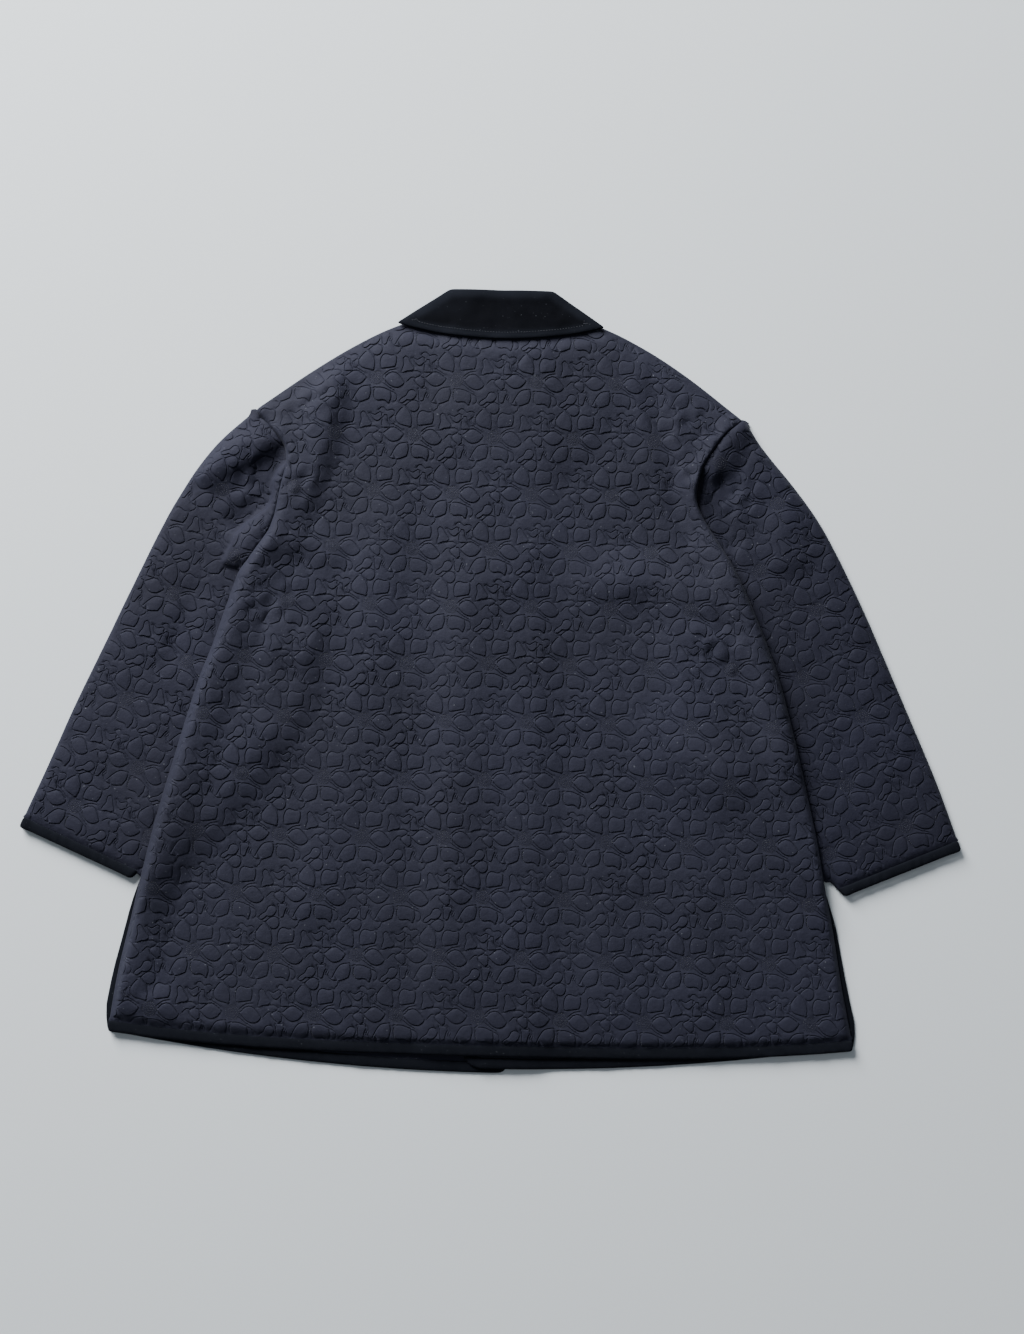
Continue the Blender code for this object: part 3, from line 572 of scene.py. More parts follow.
def solid_of(node):
    """The node's points, merged, and its triangles."""
    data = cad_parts[node].data
    data.calc_loop_triangles()
    points = np.empty(len(data.vertices) * 3, np.float32)
    data.vertices.foreach_get("co", points)
    faces = np.empty(len(data.loop_triangles) * 3, np.int32)
    data.loop_triangles.foreach_get("vertices", faces)
    points, index = np.unique(np.round(points.reshape(-1, 3).astype(float), 6), axis=0, return_inverse=True)
    return points, index.reshape(-1)[faces.reshape(-1, 3)]


def outline_of(node):
    """The solid's outline in plan, anticlockwise: the rim of all the ground that it covers."""
    points, faces = solid_of(node)
    corner = points[faces]
    up = np.cross(corner[:, 1] - corner[:, 0], corner[:, 2] - corner[:, 0])[:, 2] > 0
    sides = {}
    for face, is_up in zip(faces.tolist(), up.tolist()):
        for a, b in ((face[0], face[1]), (face[1], face[2]), (face[2], face[0])):
            sides.setdefault((min(a, b), max(a, b)), set()).add(is_up)
    turning = [edge for edge, ways in sides.items() if len(ways) == 2]
    plan = [Vector(p[:2]) for p in points.tolist()]
    places, _, cells, _, _, _ = delaunay_2d_cdt(plan, turning, [], 0, 1e-7)
    tree = BVHTree.FromPolygons(points.tolist(), faces.tolist())
    rim = {}
    for cell in cells:
        middle = sum((places[i] for i in cell), Vector((0, 0))) / len(cell)
        if tree.ray_cast(Vector((*middle, 1.0)), Vector((0, 0, -1)))[0] is None:
            continue
        for a, b in zip(cell, cell[1:] + cell[:1]):
            if (b, a) in rim:
                del rim[(b, a)]
            else:
                rim[(a, b)] = True
    onward = dict(rim)
    loops = []
    while onward:
        a, b = next(iter(onward))
        loop = [a]
        while (a, b) in onward:
            del onward[(a, b)]
            loop.append(b)
            a, b = b, next((end for start, end in onward if start == b), None)
        loops.append(np.array([places[i] for i in loop[:-1]]))
    return max(loops, key=signed_area)


def rounded_outline(node, spacing=OUTLINE_STEP, rounding=0.0040):
    """The solid's outline with evenly spaced points and its corners rounded off."""
    line = outline_of(node)
    line = spaced(np.vstack([line, line[:1]]), spacing)[:-1]
    for _ in range(round(2 * (rounding / spacing) ** 2)):
        line = 0.5 * line + 0.25 * np.roll(line, 1, axis=0) + 0.25 * np.roll(line, -1, axis=0)
    return line


class Lie:
    """How high one face of a solid lies, read on a grid and smoothed."""

    def __init__(self, node, from_above, smooth, spacing=0.004):
        points, faces = solid_of(node)
        tree = BVHTree.FromPolygons(points.tolist(), faces.tolist())
        pad = 8 * spacing
        self.spacing = spacing
        self.low = points[:, :2].min(0) - pad
        count = np.ceil((points[:, :2].max(0) + pad - self.low) / spacing).astype(int) + 1
        start, way = (1.0, -1.0) if from_above else (-1.0, 1.0)
        found = np.full(count[::-1], np.nan)
        for j in range(count[1]):
            for i in range(count[0]):
                x, y = self.low[0] + i * spacing, self.low[1] + j * spacing
                hit = tree.ray_cast(Vector((x, y, start)), Vector((0, 0, way)))[0]
                if hit is not None:
                    found[j, i] = hit.z
        held = ~np.isnan(found)
        self.map = self.filled(found, held, max(smooth / spacing, 0.6))

    @staticmethod
    def filled(found, held, sigma):
        """The heights blurred by `sigma` cells, and carried on past the solid's edge."""
        reach = math.ceil(3 * sigma)
        kernel = np.exp(-0.5 * (np.arange(-reach, reach + 1) / sigma) ** 2)

        def blur(values):
            for axis in (0, 1):
                padded = np.pad(values, [(reach, reach) if k == axis else (0, 0) for k in (0, 1)])
                size = values.shape[axis]
                values = sum(w * np.take(padded, range(k, k + size), axis) for k, w in enumerate(kernel))
            return values

        value = np.where(held, found, 0.0)
        known = held.astype(float)
        weight = blur(known)
        smoothed = blur(value) / np.maximum(weight, 1e-12)
        mean = value.sum() / known.sum()
        return np.where(weight > 1e-9, smoothed, mean)

    def __call__(self, at):
        place = (np.asarray(at) - self.low) / self.spacing
        rows, columns = self.map.shape
        i = np.clip(place[:, 0], 0, columns - 1.001)
        j = np.clip(place[:, 1], 0, rows - 1.001)
        i0, j0 = i.astype(int), j.astype(int)
        u, v = i - i0, j - j0
        m = self.map
        below = m[j0, i0] * (1 - u) + m[j0, i0 + 1] * u
        above = m[j0 + 1, i0] * (1 - u) + m[j0 + 1, i0 + 1] * u
        return below * (1 - v) + above * v


def quarter_round(depth, radius):
    """1 at an edge, and 0 from `radius` in from it, curved as a quarter circle."""
    return 1 - np.sqrt(np.clip(1 - (1 - np.clip(depth / radius, 0, 1)) ** 2, 0, 1))


def creased(creases):
    """A function for how much these folds raise each point."""
    lines = [(smooth_line(crease.points, 0.012), crease) for crease in creases]

    def height(at):
        total = np.zeros(len(at))
        for line, crease in lines:
            away, side, along, length = nearest_on(line, at)
            width = np.where(side > 0, crease.left, crease.right)
            ends = ease(along / crease.fade) * ease((length - along) / crease.fade)
            total += crease.high * (1 - ease(away / width)) * ends
        return total

    return height


def crumpled(at):
    """How much the crumpled places raise or sink each point."""
    waves = np.sin(at @ (262, 120)) + np.sin(at @ (-150, 290) + 1.7) + np.sin(at @ (330, -76) + 0.6)
    amount = np.zeros(len(at))
    for spot in CRUMPLES:
        away = np.hypot(at[:, 0] - spot.x, at[:, 1] - spot.y)
        amount = np.maximum(amount, spot.high * (1 - ease(away / spot.reach)))
    return 0.6 * amount * waves


# Cloth walls


def faces_between(ring, points):
    every = [Vector(p) for p in (np.vstack([ring, points]) if len(points) else ring)]
    _, _, faces, origin, _, _ = delaunay_2d_cdt(every, [], [list(range(len(ring)))], 1, 1e-8)
    return np.array([[origin[i][0] for i in face] for face in faces], int)


def wall_arrays(outline, under, over, upper, relief, edge=CLOTH_EDGE, low_step=LOW_STEP):
    """Points, faces and relief of a closed wall of cloth between its two faces' heights."""
    rings = [clear_ring(outline, ring.inset) for ring in edge]
    count = len(outline)
    points = []
    for ring, place in zip(rings, edge):
        low, high = under(ring), over(ring)
        points.append(np.column_stack([ring, low + place.share * (high - low)]))
    ring_total = count * len(rings)
    points.append(np.column_stack([upper, over(upper) + relief]))
    lower = grid_points(rings[-1], low_step, 0.4 * low_step)
    points.append(np.column_stack([lower, under(lower)]))
    faces = []
    here = np.arange(count)
    after = np.roll(here, -1)
    for k in range(len(rings) - 1):
        a, b = here + k * count, after + k * count
        c, d = b + count, a + count
        faces += [np.column_stack([a, d, c]), np.column_stack([a, c, b])]
    top = faces_between(rings[0], upper)
    faces.append(np.where(top >= count, top - count + ring_total, top))
    low = faces_between(rings[-1], lower)[:, ::-1]
    low_start = ring_total + len(upper)
    faces.append(np.where(low >= count, low - count + low_start, low + ring_total - count))
    depth = np.zeros(low_start + len(lower))
    return np.vstack(points), np.vstack(faces), ring_total, depth


def crisp_rims(data, depth):
    """Keeps the cloth's turn into its stitching sharp, and all other shading smooth."""
    ends = np.empty(len(data.edges) * 2, np.int32)
    data.edges.foreach_get("vertices", ends)
    sewn = (depth[ends.reshape(-1, 2)] > 0.15).all(axis=1)
    data.set_sharp_from_angle(angle=math.radians(26))
    sharp = np.empty(len(data.edges), bool)
    data.attributes["sharp_edge"].data.foreach_get("value", sharp)
    data.attributes["sharp_edge"].data.foreach_set("value", sharp & sewn)


def mesh_piece(name, walls, material):
    """One object from closed walls, each given as points, faces and a value for each point: on cotton its
    depth in the stitching, which the cotton darkens as painted shade, and on velvet its wear and painted
    sheen.
    """
    points, faces, depths, start = [], [], [], 0
    for wall_points, wall_faces, wall_depth in walls:
        points.append(wall_points)
        faces.append(wall_faces + start)
        depths.append(wall_depth)
        start += len(wall_points)
    data = bpy.data.meshes.new(name)
    data.from_pydata(np.vstack(points).tolist(), [], np.vstack(faces).tolist())
    data.validate()
    data.shade_smooth()
    stitched = data.attributes.new("stitched", "FLOAT", "POINT")
    stitched.data.foreach_set("value", np.concatenate(depths).astype(np.float32))
    if name.startswith(("back_panel", "sleeve_panel")):
        crisp_rims(data, np.concatenate(depths))
    data.materials.append(material)
    thing = bpy.data.objects.new(name, data)
    bpy.context.scene.collection.objects.link(thing)
    return thing


# Quilting


def petal_lines():
    found = []
    for runs in PETALS:
        found.append(np.vstack([smooth_line(run, STITCH_STEP)[:-1] for run in runs]))
    return found


def closed_line(points):
    """A closed line that is smooth but for a corner at its first point."""
    return smooth_line([*points, points[0]], 0.94 * STITCH_STEP)[:-1]


def ring_line(radius, spacing=2.6):
    angle = np.linspace(0, math.tau, max(6, round(math.tau * radius / spacing)), endpoint=False)
    wave = 1 + 0.05 * np.cos(5 * angle)
    return np.column_stack([radius * wave * np.cos(angle), radius * wave * np.sin(angle)])


def anticlockwise(line):
    return line if signed_area(line) > 0 else line[::-1]


def apart(points, least):
    """The points, leaving out each that lies nearer than `least` to one before it."""
    kept = []
    for point in points:
        if all((point[0] - q[0]) ** 2 + (point[1] - q[1]) ** 2 > least * least for q in kept[-400:]):
            kept.append(point)
    return np.array(kept)


def flower_cell():
    """The repeat's points, how high each is raised, and how deep each lies in the stitching."""
    petals = [anticlockwise(line) for line in petal_lines()]
    shapes = [anticlockwise(closed_line(shape)) for shape in SHAPES]
    rings = [ring_line(radius) for radius in FLOWER_RINGS]
    opened = [smooth_line(points, 0.94 * STITCH_STEP) for points in BESIDE_PETALS + WANDERING]
    closed = petals + shapes
    places = [(i, j) for i in (-2, -1, 0, 1, 2) for j in (-1, 0, 1)]
    steps = [np.array([(i + 0.5 * j) * FLOWER_PITCH, j * ROW_PITCH]) for i, j in places]

    stitched = apart(np.vstack(closed + opened), STITCH_GAP)
    flanks = [moved_in(line, way * BESIDE_STITCH) for line in closed for way in (-1, 1)]
    flanks += [moved_in(line, way * BESIDE_STITCH, closed=False) for line in opened for way in (-1, 1)]
    flanks = np.vstack(flanks)
    rows = np.vstack([moved_in(line, PETAL_ROW)[::2] for line in petals])
    across, up = round(FLOWER_PITCH / FIELD_STEP), round(ROW_PITCH / (0.9 * FIELD_STEP))
    field = []
    for j in range(up):
        for i in range(across):
            u, v = (i + 0.5 * (j % 2)) / across - 0.25, j / up - 0.45
            field.append(((u + 0.5 * v) * FLOWER_PITCH, v * ROW_PITCH))
    field = np.array(field)

    def to_stitching(at):
        best = np.full(len(at), np.inf)
        for step in steps:
            for line in closed:
                best = np.minimum(best, distance_to(line + step, at, closed=True))
            for line in opened:
                best = np.minimum(best, distance_to(line + step, at))
        return best

    def to_rings(at):
        return np.min([np.abs(np.linalg.norm(at - step, axis=1)) for step in steps], axis=0)

    def within(lines, at):
        found = np.zeros(len(at), bool)
        for step in steps:
            for line in lines:
                found |= inside(line + step, at)
        return found

    clear = FLOWER_RINGS[0] + 1.0
    stitched = stitched[to_rings(stitched) > clear]
    flanks = flanks[(to_stitching(flanks) > 0.74 * BESIDE_STITCH) & (to_rings(flanks) > clear)]
    flanks = apart(flanks, FLANK_GAP)
    rows = rows[to_stitching(rows) > 0.75 * PETAL_ROW]
    field = field[(to_stitching(field) > FIELD_CLEAR) & (to_rings(field) > clear + 1.2)]
    near_row = np.array([np.linalg.norm(rows - point, axis=1).min() for point in field])
    field = field[near_row > ROW_CLEAR]
    loose = np.vstack([flanks, rows, field])
    away = to_stitching(loose)
    puff = np.full(len(loose), FIELD_PUFF)
    puff[within(shapes, loose)] = SHAPE_PUFF
    puff[within(petals, loose)] = PETAL_PUFF
    step = np.array([0.0, 0.2])
    above = np.clip((to_stitching(loose + step) - to_stitching(loose - step)) / 0.4, -1, 1)
    reach = SOFT_REACH + (STEEP_REACH - SOFT_REACH) * ease(0.5 + 0.5 * above)
    high = puff * (1 - np.exp(-away / reach))
    deep = np.exp(-away / DEPTH_REACH)
    between = np.vstack([*(ring_line(radius) for radius in BETWEEN_RINGS), [(0, 0)]])
    sewn_rings = np.vstack(rings)
    at = np.vstack([stitched, loose, sewn_rings, between])
    counts = (len(stitched), len(sewn_rings), len(between))
    highs, deeps = (0, 0.1, RING_PUFF), (1, 0.5, 0.1)
    sewn_high, ring_high, between_high = (np.full(n, value) for n, value in zip(counts, highs))
    sewn_deep, ring_deep, between_deep = (np.full(n, value) for n, value in zip(counts, deeps))
    high = np.concatenate([sewn_high, high, ring_high, between_high])
    deep = np.concatenate([sewn_deep, deep, ring_deep, between_deep])
    return at * MM, high * MM, deep


CELL = flower_cell()


def flower_middles(outline, start, turn):
    """Where each flower over an outline has its middle."""
    c, s = math.cos(turn), math.sin(turn)
    centre = outline.mean(0)
    reach = np.linalg.norm(outline - centre, axis=1).max()
    rows = math.ceil(2 * reach / (ROW_PITCH * MM))
    columns = math.ceil(2 * reach / (FLOWER_PITCH * MM))
    middles = []
    for row in range(-rows, rows + 1):
        for column in range(-columns, columns + 1):
            x = (column + 0.5 * (row % 2)) * FLOWER_PITCH * MM
            y = row * ROW_PITCH * MM
            middles.append((start[0] + x * c - y * s, start[1] + x * s + y * c))
    middles = np.array(middles)
    low, top = outline.min(0) - 0.08, outline.max(0) + 0.08
    return middles[((middles > low) & (middles < top)).all(1)]


def set_down(at, middles, turn):
    """The points turned, set about each middle, and swayed a little as sewn cloth is."""
    c, s = math.cos(turn), math.sin(turn)
    turned = np.column_stack([at[:, 0] * c - at[:, 1] * s, at[:, 0] * s + at[:, 1] * c])
    places = (middles[:, None] + turned[None]).reshape(-1, 2)
    x, y = places[:, 0], places[:, 1]
    return places + PATTERN_SWAY * np.column_stack([np.sin(21 * y + 9 * x), np.sin(17 * x - 6 * y)])


def quilting(outline, start, turn, margin=0.0030):
    """The repeat laid over an outline."""
    at, high, deep = CELL
    middles = flower_middles(outline, start, turn)
    places = set_down(at, middles, turn)
    high, deep = np.tile(high, len(middles)), np.tile(deep, len(middles))
    held = ((places > outline.min(0)) & (places < outline.max(0))).all(1)
    places, high, deep = places[held], high[held], deep[held]
    held = inside(outline, places)
    places, high, deep = places[held], high[held], deep[held]
    rim = distance_to(outline, places, closed=True)
    held = rim > margin
    fullness = 1 + 0.16 * np.sin(places @ (31, 17)) + 0.12 * np.sin(places @ (-43, 58) + 2.0)
    return places[held], (high * fullness * ease(rim / 0.007))[held], deep[held]


def quilted_wall(outline, under, over, start, turn, rows=None):
    """A wall of quilted cloth. `rows` are points that a sharp fold needs besides the quilting's own."""
    at, high, deep = quilting(outline, start, turn)
    if rows is not None:
        clear = np.ones(len(at), bool)
        for point in rows:
            clear &= np.hypot(at[:, 0] - point[0], at[:, 1] - point[1]) > 0.0016
        at = np.vstack([at[clear], rows])
        high = np.concatenate([high[clear], np.full(len(rows), 0.0006)])
        deep = np.concatenate([deep[clear], np.zeros(len(rows))])
    points, faces, top_start, depth = wall_arrays(outline, under, over, at, high, low_step=0.011)
    depth[top_start : top_start + len(at)] = deep
    return points, faces, depth


def flower_stitches(name, outline, over, start, turn, tree):
    """The dotted rings of stitches at each flower's middle, and the dotted rows between its petals."""
    rings = [ring_line(radius, 1.3) for radius in FLOWER_RINGS]
    rows = [np.vstack([ring, ring[:1]]) for ring in rings]
    rows += [smooth_line(row, 2.0) for row in DOTTED_ROWS]
    middles = flower_middles(outline, start, turn)
    lines = [set_down(row * MM, middle[None], turn) for middle in middles for row in rows]
    cuts = np.cumsum([len(line) for line in lines])
    every = np.vstack(lines)
    clear = inside(outline, every) & (distance_to(outline, every, closed=True) > 0.004)
    lines = [line for line, held in zip(lines, np.split(clear, cuts[:-1])) if held.all()]
    cuts = np.cumsum([len(line) for line in lines])
    heights = np.split(over(np.vstack(lines)), cuts[:-1])
    lines = [np.column_stack([line, high + 0.00034]) for line, high in zip(lines, heights)]
    piece = stitched_rows(name, lines, tree, pitch=0.0020, length=0.0014, width=0.00055)
    finish_piece(piece, None)


def plain_wall(outline, under, over, spacing, edge=CLOTH_EDGE, low_step=LOW_STEP, extra=None):
    at = grid_points(clear_ring(outline, edge[0].inset), spacing, 0.45 * spacing)
    if extra is not None:
        gap = distance_to(extra, at, closed=False)
        at = np.vstack([at[gap > 0.8 * spacing], extra])
    points, faces, _, depth = wall_arrays(outline, under, over, at, np.zeros(len(at)), edge, low_step)
    return points, faces, depth


def raised(base, by):
    return lambda at: base(at) + by


def level(value):
    return lambda at: np.full(len(at), value)


# Materials


def new_material(name):
    material = bpy.data.materials.new(name)
    material.use_nodes = True
    return material, material.node_tree.nodes, material.node_tree.links


def object_place(nodes):
    return nodes.new("ShaderNodeTexCoord").outputs["Object"]


def noise_of(nodes, links, vector, scale, detail=3.0, roughness=0.5):
    noise = nodes.new("ShaderNodeTexNoise")
    noise.inputs["Scale"].default_value = scale
    noise.inputs["Detail"].default_value = detail
    noise.inputs["Roughness"].default_value = roughness
    links.new(vector, noise.inputs["Vector"])
    return noise.outputs["Fac"]


def ramp_of(nodes, links, value, stops):
    ramp = nodes.new("ShaderNodeValToRGB")
    elements = ramp.color_ramp.elements
    while len(elements) < len(stops):
        elements.new(0.5)
    for element, (place, colour) in zip(elements, stops):
        element.position = place
        element.color = colour
    links.new(value, ramp.inputs["Fac"])
    return ramp.outputs["Color"]


def mixed(nodes, links, factor, first, second, blend="MIX"):
    mix = nodes.new("ShaderNodeMix")
    mix.data_type = "RGBA"
    mix.blend_type = blend
    for value, socket in ((factor, mix.inputs[0]), (first, mix.inputs[6]), (second, mix.inputs[7])):
        if isinstance(value, (int, float, tuple)):
            socket.default_value = value
        else:
            links.new(value, socket)
    return mix.outputs[2]


def math_of(nodes, links, operation, *values):
    node = nodes.new("ShaderNodeMath")
    node.operation = operation
    for socket, value in zip(node.inputs, values):
        if isinstance(value, (int, float)):
            socket.default_value = value
        else:
            links.new(value, socket)
    return node.outputs[0]


def bumped(nodes, links, height, distance, strength=1.0, normal=None):
    bump = nodes.new("ShaderNodeBump")
    bump.inputs["Distance"].default_value = distance
    bump.inputs["Strength"].default_value = strength
    links.new(height, bump.inputs["Height"])
    if normal is not None:
        links.new(normal, bump.inputs["Normal"])
    return bump.outputs["Normal"]


def quilted_cotton(name="quilted_cotton", painted_shade=(1.0, 1.0, 1.0)):
    """Washed navy cotton: a fine weave, soft crumples by the stitching, a little lint, painted shade in the
    stitching's grooves, and its colours darkened by the given shares as painted shade.
    """
    material, nodes, links = new_material(name)
    shader = nodes["Principled BSDF"]
    shader.inputs["Roughness"].default_value = 0.78
    shader.inputs["Specular IOR Level"].default_value = 0.20
    shader.inputs["Sheen Weight"].default_value = 0.04
    shader.inputs["Sheen Roughness"].default_value = 0.50
    shader.inputs["Sheen Tint"].default_value = (0.70, 0.74, 0.88, 1)
    place = object_place(nodes)
    broad = noise_of(nodes, links, place, 7.0, 4.0)
    # Painted shade: the given shares darken the colours; the back and fronts take none
    dark, light = np.array([(0.0098, 0.0106, 0.0210), (0.0136, 0.0147, 0.0284)]) * painted_shade
    colour = ramp_of(nodes, links, broad, ((0.30, (*dark, 1)), (0.72, (*light, 1))))
    heather = noise_of(nodes, links, place, 900.0, 2.0)
    thread = ramp_of(nodes, links, heather, ((0.35, (0.82, 0.82, 0.82, 1)), (0.68, (1.22, 1.22, 1.20, 1))))
    colour = mixed(nodes, links, 0.75, colour, thread, "MULTIPLY")
    # Painted shade: the cotton darkens towards the stitching's grooves, by how deep each point lies in them
    stitched = nodes.new("ShaderNodeAttribute")
    stitched.attribute_name = "stitched"
    depth = math_of(nodes, links, "POWER", stitched.outputs["Fac"], 1.4)
    sunk = math_of(nodes, links, "MULTIPLY", depth, 0.15)
    colour = mixed(nodes, links, sunk, colour, (0.008, 0.0095, 0.017, 1))
    lint = noise_of(nodes, links, place, 420.0, 0.0)
    specks = ramp_of(nodes, links, lint, ((0.840, (0, 0, 0, 1)), (0.862, (1, 1, 1, 1))))
    fleck = math_of(nodes, links, "MULTIPLY", specks, 0.35)
    colour = mixed(nodes, links, fleck, colour, (0.16, 0.17, 0.19, 1))
    links.new(colour, shader.inputs["Base Color"])
    threads = []
    for direction in ("X", "Y"):
        weave = nodes.new("ShaderNodeTexWave")
        weave.bands_direction = direction
        weave.inputs["Scale"].default_value = 320.0
        weave.inputs["Distortion"].default_value = 0.8
        links.new(place, weave.inputs["Vector"])
        threads.append(weave.outputs["Fac"])
    woven = math_of(nodes, links, "MULTIPLY", *threads)
    crumple = noise_of(nodes, links, place, 170.0, 5.0, 0.62)
    normal = bumped(nodes, links, crumple, 0.0011, 0.55)
    normal = bumped(nodes, links, woven, 0.0002, 0.5, normal)
    links.new(normal, shader.inputs["Normal"])
    return material


def velvet():
    """Short-piled cotton velvet, near black, lighter in random patches of nap, lighter on its worn bands,
    and lighter with painted sheen along the collar's rim and on its upper left.
    """
    material, nodes, links = new_material("velvet")
    shader = nodes["Principled BSDF"]
    shader.inputs["Roughness"].default_value = 0.92
    shader.inputs["Specular IOR Level"].default_value = 0.06
    shader.inputs["Sheen Weight"].default_value = 0.06
    shader.inputs["Sheen Roughness"].default_value = 0.28
    shader.inputs["Sheen Tint"].default_value = (0.50, 0.58, 0.80, 1)
    place = object_place(nodes)
    nap = noise_of(nodes, links, place, 26.0, 4.0, 0.6)
    dark, light = (0.0012, 0.0015, 0.0027, 1), (0.0030, 0.0035, 0.0056, 1)
    colour = ramp_of(nodes, links, nap, ((0.36, dark), (0.66, light)))
    # The 'stitched' attribute lightens the velvet: wear on the bands, and painted sheen on the collar's rim
    # and upper left
    wear_and_sheen = nodes.new("ShaderNodeAttribute")
    wear_and_sheen.attribute_name = "stitched"
    worn_and_sheened = math_of(nodes, links, "MULTIPLY", wear_and_sheen.outputs["Fac"], 0.8)
    colour = mixed(nodes, links, worn_and_sheened, colour, (0.0095, 0.0112, 0.0165, 1))
    dust = noise_of(nodes, links, place, 520.0, 0.0)
    specks = ramp_of(nodes, links, dust, ((0.820, (0, 0, 0, 1)), (0.850, (1, 1, 1, 1))))
    fleck = math_of(nodes, links, "MULTIPLY", specks, 0.22)
    colour = mixed(nodes, links, fleck, colour, (0.12, 0.13, 0.15, 1))
    links.new(colour, shader.inputs["Base Color"])
    pile = noise_of(nodes, links, place, 1500.0, 2.0)
    normal = bumped(nodes, links, nap, 0.0016, 0.5)
    normal = bumped(nodes, links, pile, 0.0003, 0.7, normal)
    links.new(normal, shader.inputs["Normal"])
    return material


def sewing_thread():
    material, nodes, links = new_material("sewing_thread")
    shader = nodes["Principled BSDF"]
    shader.inputs["Roughness"].default_value = 0.55
    shader.inputs["Sheen Weight"].default_value = 0.2
    place = object_place(nodes)
    twist = noise_of(nodes, links, place, 1400.0, 1.0)
    colour = ramp_of(nodes, links, twist, ((0.3, (0.012, 0.014, 0.024, 1)), (0.7, (0.026, 0.030, 0.046, 1))))
    links.new(colour, shader.inputs["Base Color"])
    links.new(bumped(nodes, links, twist, 0.0002, 0.6), shader.inputs["Normal"])
    return material


def pale_floor():
    material, nodes, _ = new_material("pale_floor")
    shader = nodes["Principled BSDF"]
    shader.inputs["Roughness"].default_value = 0.9
    shader.inputs["Specular IOR Level"].default_value = 0.2
    shader.inputs["Base Color"].default_value = FLOOR_COLOUR
    return material


# Stitching, as Geometry Nodes


def stitch_tree(thread):
    """Lays small stitches along each line of the mesh that it is given."""
    tree = bpy.data.node_groups.new("stitch_row", "GeometryNodeTree")
    tree.interface.new_socket("Geometry", in_out="INPUT", socket_type="NodeSocketGeometry")
    for name, value in (("Pitch", 0.003), ("Length", 0.0022), ("Width", 0.0006)):
        socket = tree.interface.new_socket(name, in_out="INPUT", socket_type="NodeSocketFloat")
        socket.default_value = value
    tree.interface.new_socket("Geometry", in_out="OUTPUT", socket_type="NodeSocketGeometry")
    nodes, links = tree.nodes, tree.links
    given, result = nodes.new("NodeGroupInput"), nodes.new("NodeGroupOutput")
    row = nodes.new("GeometryNodeMeshToCurve")
    spacing = nodes.new("GeometryNodeResampleCurve")
    spacing.mode = "LENGTH"
    stitch = nodes.new("GeometryNodeMeshUVSphere")
    stitch.inputs["Segments"].default_value = 4
    stitch.inputs["Rings"].default_value = 3
    stitch.inputs["Radius"].default_value = 0.5
    size = nodes.new("ShaderNodeCombineXYZ")
    shaped = nodes.new("GeometryNodeTransform")
    tangent = nodes.new("GeometryNodeInputTangent")
    align = nodes.new("FunctionNodeAlignRotationToVector")
    align.axis = "X"
    place = nodes.new("GeometryNodeInstanceOnPoints")
    realize = nodes.new("GeometryNodeRealizeInstances")
    smooth = nodes.new("GeometryNodeSetShadeSmooth")
    finish = nodes.new("GeometryNodeSetMaterial")
    finish.inputs["Material"].default_value = thread
    for a, b in (
        (given.outputs["Geometry"], row.inputs["Mesh"]),
        (row.outputs["Curve"], spacing.inputs["Curve"]),
        (given.outputs["Pitch"], spacing.inputs["Length"]),
        (given.outputs["Length"], size.inputs["X"]),
        (given.outputs["Width"], size.inputs["Y"]),
        (given.outputs["Width"], size.inputs["Z"]),
        (stitch.outputs["Mesh"], shaped.inputs["Geometry"]),
        (size.outputs["Vector"], shaped.inputs["Scale"]),
        (tangent.outputs["Tangent"], align.inputs["Vector"]),
        (spacing.outputs["Curve"], place.inputs["Points"]),
        (shaped.outputs["Geometry"], place.inputs["Instance"]),
        (align.outputs["Rotation"], place.inputs["Rotation"]),
        (place.outputs["Instances"], realize.inputs["Geometry"]),
        (realize.outputs["Geometry"], smooth.inputs["Geometry"]),
        (smooth.outputs["Geometry"], finish.inputs["Geometry"]),
        (finish.outputs["Geometry"], result.inputs["Geometry"]),
    ):
        links.new(a, b)
    return tree


def stitched_rows(name, lines, tree, pitch, length, width):
    """A plain mesh of stitches along open lines of points in space."""
    data = bpy.data.meshes.new(name + "_lines")
    points, edges = [], []
    for line in lines:
        start = len(points)
        points += [tuple(p) for p in line]
        edges += [(start + k, start + k + 1) for k in range(len(line) - 1)]
    data.from_pydata(points, edges, [])
    source = bpy.data.objects.new(name + "_lines", data)
    bpy.context.scene.collection.objects.link(source)
    made = source.modifiers.new("stitches", "NODES")
    made.node_group = tree
    values = {"Pitch": pitch, "Length": length, "Width": width}
    for item in tree.interface.items_tree:
        if item.in_out == "INPUT" and item.name in values:
            made[item.identifier] = values[item.name]
    bpy.context.view_layer.update()
    graph = bpy.context.evaluated_depsgraph_get()
    result = bpy.data.meshes.new_from_object(source.evaluated_get(graph))
    result.name = name
    bpy.data.objects.remove(source, do_unlink=True)
    thing = bpy.data.objects.new(name, result)
    bpy.context.scene.collection.objects.link(thing)
    return thing


def along_surface(line, surface, lift):
    return np.column_stack([line, surface(line) + lift])


# Pieces


def finish_piece(piece, node):
    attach(piece, "root")
    if node:
        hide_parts(node)


def declare_sheet(outline, layers):
    """Works out the cut's area, its outline's area times its layers, and does nothing with it."""
    area = abs(signed_area(outline)) * layers


def tucked(outline, covers, reach=0.0035, tuck=0.0032):
    """The outline drawn on by `tuck` under each neighbour that it meets, so that no gap shows."""
    near = np.min([distance_to(cover, outline, closed=True) for cover in covers], axis=0)
    share = ease((1.6 * reach - near) / (0.6 * reach))
    return moved_in(outline, -tuck * share)


